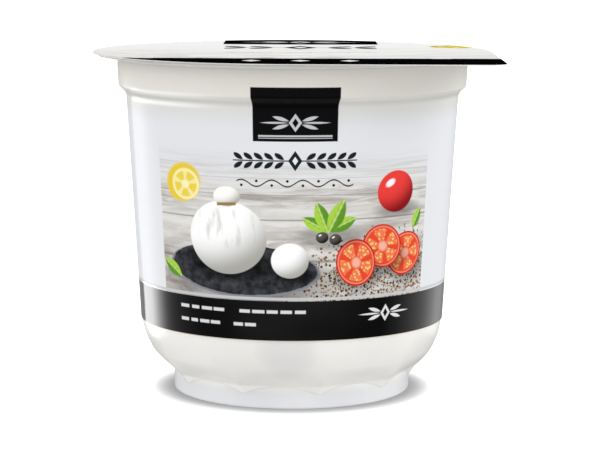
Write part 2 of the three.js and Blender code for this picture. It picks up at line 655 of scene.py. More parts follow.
@dataclass(frozen=True)
class Finish:
    """A plastic's constant properties, which are set on the shader's own sockets."""

    name: str
    specular: float = 0.5
    coat_roughness: float = 0.1
    subsurface: float = 0.0
    subsurface_depth: float = 0.0
    subsurface_tint: Triple = (1.0, 0.82, 0.66)

    def start(self) -> tuple[bpy.types.Material, Shader]:
        """A new material and the builder of its nodes."""
        made = bpy.data.materials.new(self.name)
        made.use_nodes = True
        return made, Shader(made.node_tree)

    def close(
        self,
        shader: Shader,
        colour: Wire,
        roughness: Value,
        normal: Wire | None,
        extra: Mapping[str, Value] | None = None,
    ) -> None:
        """Adds the plastic itself and the output.

        Args:
            shader: the material's nodes.
            colour: the base colour.
            roughness: the roughness.
            normal: the tipped normal, if the surface has relief.
            extra: what other sockets of the plastic hold.
        """
        sockets: dict[str | int, object] = {
            "Base Color": colour,
            "Roughness": roughness,
            "Specular IOR Level": self.specular,
            "Coat Roughness": self.coat_roughness,
            "Subsurface Weight": self.subsurface,
        }
        if self.subsurface:
            sockets["Subsurface Radius"] = self.subsurface_tint
            sockets["Subsurface Scale"] = self.subsurface_depth * MM
        if normal is not None:
            sockets["Normal"] = normal
        sockets.update(extra or {})
        shader.end("ShaderNodeBsdfPrincipled", sockets)


@dataclass
class Print:
    """Inks laid over a ground, one field after another, on a flat place in millimetres.

    The place is the vector (across, up, 1), so that one dot product with three constants reads any straight
    scale on it, shifted and turned as need be. Every mask is worked out right before its ink is laid.
    """

    shader: Shader
    place: Wire
    across: Wire
    up: Wire
    texture: Wire
    colour: Wire

    @classmethod
    def on(cls, shader: Shader, across: Wire, up: Wire, ground: Wire) -> "Print":
        """Starts a print.

        The place is joined, taken apart and joined again, so that all masks hang from that one node and the
        renderer holds only a few of their values at a time.

        Args:
            shader: the material's nodes.
            across: millimetres to the right.
            up: millimetres upwards.
            ground: the colour that is printed on.

        Returns:
            The print.
        """
        texture = shader.joined(across, up)
        x, y, _ = shader.parts(texture)
        return cls(shader, shader.joined(x, y, 1.0), x, y, texture, ground)

    def lay(self, mask: Value, colour: object) -> None:
        """Lays a colour or an ink where the mask is 1."""
        self.colour = self.shader.mix(mask, self.colour, colour)

    def shade(self, mask: Value, code: str) -> None:
        """Multiplies what is there by an ink where the mask is 1."""
        self.colour = self.shader.multiply(mask, self.colour, code)

    def scale(self, across: float, up: float, start: float) -> Wire:
        """A straight scale: across * x + up * y + start."""
        return self.shader.vector("DOT_PRODUCT", self.place, (across, up, start), output=1)

    def local(self, centre: Pair, half: Pair, turn: float = 0.0) -> tuple[Wire, Wire]:
        """The place's two numbers in a frame of its own.

        Args:
            centre: the frame's middle.
            half: the lengths of its two units.
            turn: degrees it is turned, anticlockwise.

        Returns:
            How far across and how far up the place is, in those units.
        """
        cosine, sine = heading(turn)
        right = (cosine / half[0], sine / half[0])
        rise = (-sine / half[1], cosine / half[1])
        from_middle = [-(axis[0] * centre[0] + axis[1] * centre[1]) for axis in (right, rise)]
        return self.scale(*right, from_middle[0]), self.scale(*rise, from_middle[1])

    def disc(self, centre: Pair, half: Pair, turn: float, blur: float, most: float = 1.0) -> Wire:
        """A mask of an ellipse with soft edges.

        Args:
            centre: its middle.
            half: its two half widths.
            turn: degrees it is turned.
            blur: the width of its edge.
            most: the mask's value inside.

        Returns:
            The mask.
        """
        reach = self.shader.squares(*self.local(centre, half, turn))
        soft = blur / min(half)
        return self.shader.step(reach, 1.0 + soft, 1.0 - soft, 0.0, most)

    def bar(self, centre: Pair, half: Pair, turn: float = 0.0, blur: float = 0.2) -> Wire:
        """A mask of a rectangle.

        Args:
            centre: its middle.
            half: its two half widths.
            turn: degrees it is turned.
            blur: the width of its edge.

        Returns:
            The mask.
        """
        x, y = self.local(centre, (1.0, 1.0), turn)
        return (abs(x) - half[0]).most(abs(y) - half[1]).under(0.0, blur)

    def lozenge(self, centre: Pair, half: Pair) -> Wire:
        """A mask of a diamond: |x| / half width + |y| / half height under 1."""
        x, y = self.local(centre, half)
        return (abs(x) + abs(y)).under(1.0, FINE_EDGE / min(half))

    def blade(self, x: Wire, y: Wire, blur: float) -> Wire:
        """A mask of a shape with two points, whose edge is |y| = 1 - x^2."""
        return self.shader.maths("MULTIPLY_ADD", x, x, abs(y)).under(1.0, blur)

    def turned_blade(self, x: Wire, y: Wire, half: Pair, turn: float, blur: float) -> Wire:
        """A mask of a pointed shape about the place where x and y are 0.

        Args:
            x: how far across the place is.
            y: how far up it is.
            half: the shape's half length and half width.
            turn: degrees it is turned.
            blur: the width of its edge, as a share of its half width.

        Returns:
            The mask.
        """
        cosine, sine = heading(turn)
        along = (x * cosine + y * sine) / half[0]
        away = (y * cosine - x * sine) / half[1]
        return self.blade(along, away, blur)

    def shadow(self, centre: Pair, half: Pair, strength: float) -> None:
        """A soft shadow, whose edge is as wide as it is."""
        self.shade(self.disc(centre, half, 0.0, min(half), strength), Ink.SHADOW)

    def ball(self, centre: Pair, half: Pair, inks: Inks, glint: float = 0.0, turn: float = 0.0) -> None:
        """A shaded round thing, lit from the upper left.

        Its shade grows with 0.45 x - 0.7 y + 0.35 (x^2 + y^2), in units of its half widths.

        Args:
            centre: its middle.
            half: its two half widths.
            inks: its inks on the lit side and on the far side.
            glint: how strong its highlight is.
            turn: degrees it is turned.
        """
        shader = self.shader
        x, y = self.local(centre, half, turn)
        reach = shader.squares(x, y)
        away = shader.maths("MULTIPLY_ADD", x, 0.45, y * -0.7)
        fall = shader.step(shader.maths("MULTIPLY_ADD", reach, 0.35, away), -0.2, 1.0)
        self.lay(reach.under(1.0, 0.5 / min(half)), shader.mix(fall, inks[0], inks[1]))
        if glint:
            spot = (centre[0] - 0.34 * half[0], centre[1] + 0.42 * half[1])
            spot_half = (0.26 * half[0], 0.16 * half[1])
            self.lay(self.disc(spot, spot_half, 28.0, 0.1 * min(half), glint), Ink.WHITE)

    def leaf(self, centre: Pair, length: float, width: float, turn: float, inks: Inks) -> None:
        """A leaf with two points, a pale rib and faint veins, darker on one side of the rib.

        The veins are the waves of sin(17 (x - 0.45 |y|)), which lean towards its right point.

        Args:
            centre: its middle.
            length: its length.
            width: its width.
            turn: degrees it is turned.
            inks: its inks on the lit side and on the far side.
        """
        shader = self.shader
        x, y = self.local(centre, (length / 2.0, width / 2.0), turn)
        side = abs(y)
        vein = (shader.maths("MULTIPLY_ADD", side, -0.45, x) * 17.0).sin()
        tone = shader.step(shader.maths("MULTIPLY_ADD", vein, 0.13, y), -0.35, 0.4)
        colour = shader.mix(tone, inks[1], inks[0])
        colour = shader.mix(shader.step(side, 0.17, 0.03, 0.0, 0.6), colour, Ink.LEAF_RIB)
        self.lay(self.blade(x, y, 0.7 / width), colour)

    def slice(self, centre: Pair, radius: float, inks: SliceInks, seeds: Wire | None = None) -> None:
        """A round slice of fruit: skin, pale rind line, flesh, five chambers and a core.

        The five chambers follow sin(5 angle). They, the core, the rind and the skin begin and end at shares
        of the squared radius. A slice is turned by 7 degrees for each millimetre across the print, so that
        no two lie alike.

        Args:
            centre: its middle.
            radius: its half width; it is a little lower than wide.
            inks: its inks.
            seeds: a mask of seeds in its chambers.
        """
        shader = self.shader
        x, y = self.local(centre, (radius, 0.9 * radius), centre[0] * 7.0)
        reach = shader.squares(x, y)
        lobes = (shader.maths("ARCTAN2", y, x) * 5.0).sin()
        hollow = shader.step(lobes, -0.8, -0.2) * reach.over(0.09, 0.06) * reach.under(0.62, 0.08)
        tone = shader.mix(hollow, inks.flesh, inks.chamber)
        tone = shader.mix(reach.under(0.05, 0.08), tone, inks.core)
        if seeds is not None:
            tone = shader.mix(hollow * seeds, tone, Ink.RED_SEED)
        tone = shader.mix(reach.over(0.74, 0.08), tone, inks.rind)
        tone = shader.mix(reach.over(0.86, 0.06), tone, inks.skin)
        self.lay(reach.under(1.0, 0.5 / radius), tone)

    def small_print(
        self, corner: Pair, width: float, lines: int, line: float, pitch: float, code: str
    ) -> None:
        """Lines of fine dashes, as long as words, with uneven ends.

        Every cell of the pitch holds one dash in its middle, which fills 0.62 to 0.92 of the cell's width by
        lot and 0.28 of the line's height. A cell whose lot is under 0.06 is empty, and a line's own lot
        shortens it by up to 0.12, to whole cells.

        Args:
            corner: the block's upper left corner.
            width: its width.
            lines: how many lines it has.
            line: the distance between lines.
            pitch: a cell's width.
            code: the dashes' ink.
        """
        shader = self.shader
        down = self.scale(0.0, -1.0 / line, corner[1] / line)
        row = down.floor()
        along = self.scale(1.0 / pitch, 0.0, -corner[0] / pitch)
        seeds_a_line = 61.0
        chance = shader.lot(shader.maths("MULTIPLY_ADD", row, seeds_a_line, along.floor()))
        length = shader.maths("MULTIPLY_ADD", chance, 0.3, 0.62)
        past_end = (abs(along.past() - 0.5) * 2.0 - length) * pitch * 0.5
        past_side = (abs(down.past() - 0.5) - 0.14) * line
        dash = past_end.under(0.0, 0.2) * past_side.under(0.0, 0.2) * chance.over(0.06, 0.01)
        cells = (shader.maths("MULTIPLY_ADD", shader.lot(row + 0.5), -0.12, 1.0) * (width / pitch)).floor()
        block = along.over(0.0, 0.1) * (along - cells).under(0.0, 0.1)
        block = block * down.over(0.0, 0.02) * down.under(lines, 0.02)
        self.lay(dash * block, code)

    def planks(self, vanish: float, boards: float, low: float, high: float, strength: float = 1.0) -> None:
        """Pale planks that run across and close up towards a height where they would vanish.

        The planks are counted by boards / (vanish - up), which grows faster and faster upwards. Their grain
        is noise that is long across and short on that count, and a dark line parts one plank from the next.

        Args:
            vanish: that height.
            boards: how many planks there are below 1 mm under it.
            low: where they begin to fade upwards.
            high: where they have faded into the ground.
            strength: how far they cover the ground below that.
        """
        shader = self.shader
        # Adding nothing gives the planks a place of their own, which the renderer needn't hold for long.
        x, y, _ = shader.parts(shader.vector("ADD", self.texture, (0.0, 0.0, 0.0)))
        count = boards / (vanish - y.least(high))
        grain = shader.noise(shader.joined(x * 0.075, count * 4.0), 1.0, 5.0, 0.65, 0.5)
        streak = shader.noise(shader.joined(x * 0.02, count * 1.1, 4.0), 1.0)
        joint = shader.step(abs(count.past() - 0.5), 0.462, 0.492, 0.0, 0.6)
        tone = shader.mix(shader.step(grain, 0.35, 0.68), Ink.PLANK_GRAIN, Ink.PLANK)
        tone = shader.mix(shader.step(streak, 0.35, 0.65, 0.0, 0.7), tone, Ink.PLANK_STREAK)
        tone = shader.mix(joint, tone, Ink.PLANK_JOINT)
        slope = strength / (high - low)
        self.lay(self.scale(0.0, -slope, high * slope).least(strength).most(0.0), tone)

    def pepper(self, centre: Pair, half: Pair, coarse: float) -> None:
        """Crushed pepper that lies thick round a middle and thins out.

        Each cell of two patterns, one coarse and one fine, holds a grain where the cell's own lot is under
        the density there.

        Args:
            centre: that middle.
            half: how far it reaches, two half widths.
            coarse: the size of its cells.
        """
        shader = self.shader
        for size, shift in ((coarse, 3.0), (0.6 * coarse, 8.0)):
            cells = shader.cells(shader.carried(self.texture, (shift, 1.7 * shift), (size, size)), 1.0)
            lots = shader.node("ShaderNodeSeparateColor", None, {0: shader.wire(cells, "Color")})
            density = self.disc(centre, (1.5 * half[0], 2.2 * half[1]), 6.0, 2.0 * half[1], 0.6)
            here = (density - shader.wire(lots, 0)).over(0.02, 0.01)
            tone = shader.mix(shader.wire(lots, 1), Ink.PEPPER_DARK, Ink.PEPPER)
            self.lay(shader.wire(cells, "Distance").under(0.33, 0.12) * here, tone)

    def slate(self, centre: Pair, size: float) -> None:
        """A dark board of split stone with a ragged, paler front edge.

        Args:
            centre: its middle.
            size: a little over half its half width.
        """
        shader = self.shader
        self.shadow((centre[0] + 0.1 * size, centre[1] - 0.25 * size), (2.15 * size, 0.65 * size), 0.6)
        rough = shader.noise(self.texture, 0.22 * size, 3.0, 0.6)
        across, rise = self.local(centre, (1.95 * size, 0.62 * size), -2.0)
        ragged = shader.maths("MULTIPLY_ADD", rough, 0.12, shader.squares(across, rise))
        self.lay(ragged.under(1.1, 0.05), Ink.SLATE_EDGE)
        stone = shader.mix(shader.step(rough, 0.3, 0.75), Ink.SLATE_DARK, Ink.SLATE)
        self.lay(shader.maths("MULTIPLY_ADD", rise, -0.09, ragged).under(1.02, 0.05), stone)

    def tied_cheese(self, centre: Pair, size: float) -> None:
        """A ball of white cheese on a dark board, tied off at its top, and a small ball beside it.

        Every length is a share of the large ball's half width.

        Args:
            centre: the middle of the large ball.
            size: its half width.
        """
        shader = self.shader
        x, y = centre

        def spot(across: float, up: float) -> Pair:
            """A place off the large ball's middle."""
            return x + across * size, y + up * size

        def half(width: float, height: float) -> Pair:
            """Two half widths."""
            return width * size, height * size

        self.slate(spot(0.3, -0.78), size)
        self.shadow(spot(0.15, -0.66), half(1.15, 0.35), 0.85)
        self.ball(centre, half(1.0, 0.88), (Ink.WHITE, Ink.CHEESE_DARK), turn=-5.0)
        folds = shader.noise(shader.carried(self.texture, centre, half(0.2, 0.75)), 1.0, 3.0)
        creases = self.disc(spot(0.0, 0.32), half(0.85, 0.5), 0.0, 0.4 * size)
        self.shade(creases * shader.step(folds, 0.5, 0.68, 0.0, 0.5), Ink.CHEESE_CREASE)
        self.ball(spot(0.03, 0.98), half(0.34, 0.24), (Ink.KNOT, Ink.KNOT_DARK))
        self.lay(self.bar(spot(0.02, 0.80), half(0.24, 0.035), 3.0, 0.15), Ink.STRING)
        self.shadow(spot(1.67, -0.88), half(0.5, 0.16), 0.85)
        self.ball(spot(1.55, -0.52), half(0.45, 0.42), (Ink.WHITE, Ink.SMALL_CHEESE_DARK))

    def red_slices(self, centre: Pair, radius: float) -> None:
        """Three red slices that lie one over the next.

        Args:
            centre: the middle of the one in the middle.
            radius: their half width.
        """
        seeds = self.shader.wire(self.shader.cells(self.texture, radius / 6.0), "Distance").under(0.3, 0.12)
        for step, rise in ((1.25, -0.28), (0.0, 0.12), (-1.25, -0.5)):
            x, y = centre[0] + step * radius, centre[1] + rise * radius
            self.shadow((x + 0.15 * radius, y - 0.55 * radius), (1.05 * radius, 0.65 * radius), 0.7)
            self.slice((x, y), radius, RED_SLICE, seeds)

    def sprig(self, centre: Pair, size: float) -> None:
        """A sprig of four pointed leaves with two dark olives at its foot.

        Args:
            centre: where the leaves meet.
            size: the longest leaf's length.
        """
        x, y = centre
        self.shadow((x + 0.1 * size, y - 0.2 * size), (0.8 * size, 0.3 * size), 0.5)
        for turn, share in ((152.0, 0.8), (24.0, 0.85), (112.0, 0.9), (64.0, 1.0)):
            length = share * size
            across, rise = heading(turn)
            middle = (x + 0.5 * length * across, y + 0.4 * length * rise)
            self.leaf(middle, length, 0.42 * length, turn, LEAF_INKS)
        for across, rise in ((-0.16, -0.2), (0.2, -0.26)):
            middle = (x + across * size, y + rise * size)
            self.ball(middle, (0.17 * size, 0.15 * size), (Ink.OLIVE, Ink.OLIVE_DARK), 0.8)

    def garland(self, centre: Pair, half: Pair) -> None:
        """A dark row of leaf pairs on a stem, with a diamond in its middle.

        The leaf pairs are one pair in cells as wide as the diamond's half height, counted outwards from it.

        Args:
            centre: its middle.
            half: its half width and the diamond's half height.
        """
        width, tall = half
        out = abs(self.scale(1.0, 0.0, -centre[0]))
        rise = abs(self.scale(0.0, 1.0, -centre[1]))
        start = 0.95 * tall
        along = (out - start) % tall - 0.6 * tall
        leaf = self.turned_blade(along, rise - 0.44 * tall, (0.60 * tall, 0.24 * tall), 34.0, 0.35)
        self.lay(leaf * (out.over(start, 0.05) * out.under(width, 0.05)), Ink.GARLAND)
        self.lay(rise.under(0.06 * tall, 0.12) * out.under(width, 0.2), Ink.GARLAND)
        self.lay(self.lozenge(centre, (0.68 * tall, tall)), Ink.GARLAND)
        self.lay(self.lozenge(centre, (0.28 * tall, 0.42 * tall)), Ink.GARLAND_HEART)

    def wavy_rule(self, centre: Pair, half: float, wave: float) -> None:
        """A thin dark wave with a dot in each of its bends.

        The wave is up = wave / 2 sin(turn), a dot lies at -wave / 3 where the wave is highest and lowest,
        and one turn is 4.6 times the wave's height long.

        Args:
            centre: its middle.
            half: its half width.
            wave: its height.
        """
        shader = self.shader
        length = 4.6 * wave
        rise = self.scale(0.0, 1.0, -centre[1])
        along = self.scale(1.0 / length, 0.0, -centre[0] / length)
        bend = shader.maths("MULTIPLY_ADD", (along * math.tau).sin(), -wave / 2.0, rise)
        ends = abs(along).under(half / length, 0.05)
        self.lay(abs(bend).under(0.16, 0.16) * ends, Ink.GARLAND)
        beside = abs((along * 2.0).past() - 0.5) * (length / 2.0)
        side = shader.maths("MULTIPLY_ADD", (along * math.tau).sin(), wave / 3.0, rise)
        self.lay(shader.squares(beside, side).under(0.10, 0.10) * ends, Ink.GARLAND)

    def flourish(self, centre: Pair, size: float, code: str, hollow: str) -> None:
        """A light ornament: a diamond ring between two pairs of pointed leaves and two fine points.

        Args:
            centre: its middle.
            size: its half width.
            code: its ink.
            hollow: the ink inside the diamond.
        """
        leaf, fine_point = (0.24, 0.055), (0.4, 0.03)
        shapes = (
            ((0.42, 0.12), leaf, 16.0, 0.4),
            ((0.42, -0.12), leaf, -16.0, 0.4),
            ((0.6, 0.0), fine_point, 0.0, 0.6),
        )
        for off, half, turn, blur in shapes:
            side = abs(self.scale(1.0, 0.0, -centre[0])) - off[0] * size
            rise = self.scale(0.0, 1.0, -centre[1]) - off[1] * size
            self.lay(self.turned_blade(side, rise, (half[0] * size, half[1] * size), turn, blur), code)
        self.lay(self.lozenge(centre, (0.19 * size, 0.27 * size)), code)
        self.lay(self.lozenge(centre, (0.09 * size, 0.14 * size)), hollow)


# ---------------------------------------------------------------------------------------------- pieces


@dataclass
class Pot:
    """The moulded pot: foot ring, bowl in ten shallow flats, wall, collar and flange."""

    mould: Mould = Mould()
    columns: int = 480
    bowl_rows: int = 56
    curve_steps: int = 48
    flange_r: float = 46.4
    flange_top: float = 80.95
    flange_thickness: float = 0.55
    flange_edge: float = 0.2
    collar_crease: float = 0.3
    flat_depth: float = 0.042
    flat_full_z: float = 5.2
    flat_end_z: float = 10.5
    flat_trace: float = 0.010
    ridge_softness: float = 0.16
    crease_z: float = 5.4
    crease_gap: float = 0.06
    shelf: float = 0.35
    shelf_top_z: float = 7.2
    tooth_slope: float = 0.78
    foot_edge: float = 0.7
    ring_inner_r: float = 25.2
    recess_r: float = 24.4
    recess_depth: float = 1.5
    gate_r: float = 1.3
    gate_height: float = 0.35
    base_ring_r: float = 11.8
    base_ring_half: float = 0.8
    base_ring_height: float = 0.25
    base_ring_round: float = 0.8

    def base_rows(self) -> np.ndarray:
        """The outline under the pot, from the gate mark at its centre out to the foot's side."""
        foot_r, roof = self.mould.foot_r, self.recess_depth
        low = roof - self.gate_height
        inner, outer = self.base_ring_r - self.base_ring_half, self.base_ring_r + self.base_ring_half
        crest = (self.base_ring_r, roof - self.base_ring_height)
        corner = round_corner((0.0, 0.0), (foot_r, 0.0), (foot_r, 3.0), self.foot_edge, 6)
        return joined(
            straight((0.4, low), (self.gate_r, low), 2),
            straight((self.gate_r + 0.3, roof), (inner, roof), 6),
            round_corner((inner, roof), crest, (outer, roof), self.base_ring_round, 4),
            straight((outer, roof), (self.recess_r - 0.2, roof), 6),
            straight((self.ring_inner_r, 0.06), (self.ring_inner_r + 0.15, 0.0), 1),
            straight((self.ring_inner_r + 0.6, 0.0), tuple(corner[0]), 3),
            corner,
        )

    def bowl_radius(self, height: np.ndarray, flat: np.ndarray) -> np.ndarray:
        """The bowl's radius above its crease.

        On a ridge it is the mould's curve, less a shelf that fades out above the crease. Round a flat it is
        less again, by a share that is greatest in the flat's middle. Most of it is gone a little above the
        crease, and the rest fades out towards the wall.

        Args:
            height: heights on a grid of rows by columns.
            flat: the flatness on the same grid.

        Returns:
            The radii.
        """
        curve = self.mould.bowl_curve(self.curve_steps)
        ridge = np.interp(height, curve[:, 1], curve[:, 0])
        shelf = self.shelf * (1.0 - clamp_step(height, self.crease_z, self.shelf_top_z))
        depth = self.flat_depth * (1.0 - clamp_step(height, self.flat_full_z, self.flat_end_z))
        depth = depth + self.flat_trace * (1.0 - clamp_step(height, self.flat_end_z, curve[-1, 1]))
        return (ridge - shelf) * (1.0 - depth * flat)

    def bowl_points(self, angle: np.ndarray) -> tuple[np.ndarray, np.ndarray]:
        """The foot's side, the teeth under the ridges, and the bowl over them.

        The bowl ends in a ten-sided crease at one height. Under it a face slopes in to the foot's round
        side, so that its lower edge lies (crease radius - foot radius) / slope below the crease: a tooth
        under every ridge, and next to nothing below the middle of a flat. The rows stand a few hundredths
        apart at both edges, which keeps them crisp.

        Args:
            angle: each column's angle in degrees.

        Returns:
            Radii and heights, rows by columns.
        """
        mould = self.mould
        flat = mould.flatness(angle, self.ridge_softness)[None, :]
        crease_r = self.bowl_radius(np.full_like(flat, self.crease_z), flat)
        edge_z = self.crease_z - np.maximum(crease_r - mould.foot_r, 0.0) / self.tooth_slope
        up_foot = np.linspace(0.2, 1.0, 6)[:, None]
        foot_z = self.foot_edge + (edge_z - 0.05 - self.foot_edge) * up_foot
        foot_r = np.full_like(foot_z, mould.foot_r)
        up_tooth = np.linspace(0.0, 1.0, 5)[:, None]
        tooth_z = edge_z + (self.crease_z - edge_z) * up_tooth - 0.02 * (1.0 - up_tooth)
        tooth_r = mould.foot_r + (crease_r - mould.foot_r) * up_tooth
        start = self.crease_z + self.crease_gap
        top = mould.bowl_curve(self.curve_steps)[-1, 1]
        up_bowl = np.linspace(0.0, 1.0, self.bowl_rows)[:, None] ** 1.25
        bowl_z = (start + (top - start) * up_bowl) * np.ones_like(flat)
        bowl_r = self.bowl_radius(bowl_z, flat * np.ones_like(bowl_z))
        return np.concatenate([foot_r, tooth_r, bowl_r]), np.concatenate([foot_z, tooth_z, bowl_z])

    def top_rows(self) -> np.ndarray:
        """The outline from the straight wall up to the flange and in over the pot's closed top."""
        collar = self.mould.collar_top
        under = (self.flange_r, self.flange_top - self.flange_thickness)
        over = (self.flange_r, self.flange_top)
        lip = round_corner(collar, under, over, self.flange_edge, 4)
        rim = round_corner(under, over, (0.0, self.flange_top), self.flange_edge, 4)
        return joined(
            self.mould.upper_wall(14, 8)[1:],
            straight((collar[0] - 0.02, collar[1] - self.collar_crease), collar, 1),
            straight((collar[0] + 0.5, under[1]), tuple(lip[0]), 3),
            lip,
            rim,
            straight(tuple(rim[-1]), (1.0, self.flange_top), 8),
        )

    def build(self) -> bpy.types.Object:
        """Makes the pot's mesh."""
        angle = self.mould.first_ridge + np.arange(self.columns) * FULL_TURN / self.columns
        base = self.base_rows()
        top = self.top_rows()
        ones = np.ones((1, self.columns))
        bowl_r, bowl_z = self.bowl_points(angle)
        radius = np.concatenate([base[:, :1] * ones, bowl_r, top[:, :1] * ones])
        height = np.concatenate([base[:, 1:] * ones, bowl_z, top[:, 1:] * ones])
        poles = (float(base[0, 1]), self.flange_top)
        return TurnedSurface("pot_shell", turned(radius, height, angle), poles).build()


@dataclass(frozen=True)
class Wave:
    """A swell round the film: depth sin(lobes angle + drift height + start), in radians."""

    depth: float
    lobes: float
    drift: float
    start: float

    def at(self, radians: np.ndarray, along: np.ndarray) -> np.ndarray:
        """The swell at those angles and heights."""
        return self.depth * np.sin(self.lobes * radians + self.drift * along + self.start)


@dataclass
class Sleeve:
    """The printed film sleeve, from the foot of its black band up over the shoulder and the collar."""

    mould: Mould = Mould()
    columns: int = 480
    gap: float = 0.05
    thickness: float = 0.2
    top: float = 79.6
    top_thins: float = 1.6
    top_thickness: float = 0.04
    seam_lap: float = 0.07
    seam_width: float = 4.0
    calm_foot: float = 6.0
    waves: tuple[Wave, ...] = (Wave(0.020, 6.0, 0.11, 0.0), Wave(0.014, 11.0, -0.17, 1.3))
    map_margin: float = 0.004
    map_foot: float = 0.006
    map_side_height: float = 0.468
    map_back_up: float = 0.48
    map_strip: Pair = (0.966, 0.028)

    def route(self) -> np.ndarray:
        """The pot's outline under the sleeve."""
        foot, head = self.mould.collar_foot, self.mould.collar_top
        share = (self.top - foot[1]) / (head[1] - foot[1])
        end = (foot[0] + (head[0] - foot[0]) * share, self.top)
        wall = self.mould.upper_wall(40, 10)
        return joined(wall, straight(tuple(wall[-1]), end, 8)[1:])

    def bake_corners(self, lengths: np.ndarray, rows: int) -> np.ndarray:
        """Where each face's corners lie in the bake's map.

        The front half turn fills the map's lower half and the back half turn its upper half, each as wide
        as the map. The film's cut edges and its inner side share a thin strip along the top.

        Args:
            lengths: the distance up the outline at each row of the outer side.
            rows: how many rows there are in all.

        Returns:
            Map places, faces by 4 corners by 2.
        """
        quarter, half = self.columns // 4, self.columns // 2
        column = np.arange(self.columns)[None, :]
        corner = column + COLUMNS_ON[:, None]
        front = (column >= quarter) & (column < quarter + half)
        from_edge = np.where(front, corner - quarter, (corner - quarter - half) % self.columns)
        at_seam = ~front & (from_edge == 0) & (COLUMNS_ON[:, None] == 1)
        inside = 1.0 - 2.0 * self.map_margin
        across = np.clip(np.where(at_seam, self.columns, from_edge) / half, 0.0, 1.0)
        band = np.arange(rows)
        corner_rows = band[:, None] + ROWS_ON[None, :]
        outer_rows = len(lengths)
        outer = (band < outer_rows - 1)[:, None, None]
        up = (lengths / lengths[-1])[np.clip(corner_rows, 0, outer_rows - 1)][:, :, None]
        v_side = self.map_foot + self.map_side_height * up
        v_side = np.where(front[None], v_side, v_side + self.map_back_up)
        strip = (corner_rows - outer_rows + 1) / (rows - outer_rows + 1)
        v_strip = self.map_strip[0] + self.map_strip[1] * strip[:, :, None]
        v = np.where(outer, v_side, v_strip)
        u = self.map_margin + inside * np.where(outer, across[None], (corner / self.columns)[None])
        return np.stack([np.broadcast_to(u, v.shape), v], axis=-1).transpose(0, 2, 1, 3)

    def build(self) -> bpy.types.Object:
        """Makes the sleeve: its outer side upwards, then its inner side back down.

        The outer side stands off the outline by the gap and the film's thickness, which thins out at its top
        edge. It swells and dips by a few hundredths as shrunk film does, but for its foot and its top edge,
        and steps out over the lap at the back.
        """
        angle = -180.0 + np.arange(self.columns) * FULL_TURN / self.columns
        route = self.route()
        lengths = run_length(route)
        radians = np.radians(angle)[None, :]
        along = lengths[:, None]
        thin = clamp_step(route[:, 1:], self.top - self.top_thins, self.top)
        calm = clamp_step(along, 0.0, self.calm_foot) * (1.0 - thin)
        swell = sum(wave.at(radians, along) for wave in self.waves) * calm
        seam = 180.0 - self.seam_width
        lap = self.seam_lap * clamp_step(angle, seam, seam + 0.3 * self.seam_width)[None, :]
        film = self.thickness + (self.top_thickness - self.thickness) * thin
        outer_r = route[:, :1] + self.gap + film + swell + lap * (1.0 - 0.8 * thin)
        inner = joined(route[::-4], route[:1])
        ones = np.ones_like(radians)
        radius = np.concatenate([outer_r, (inner[:, :1] + self.gap) * ones])
        height = np.concatenate([route[:, 1:], inner[:, 1:]]) * ones
        bare = np.arange(len(radius)) >= len(route) - 1
        surface = TurnedSurface(
            "sleeve_film",
            turned(radius, height, angle),
            bake_map=self.bake_corners(lengths, len(radius)),
            row_materials=bare.astype(int),
        )
        return surface.build()


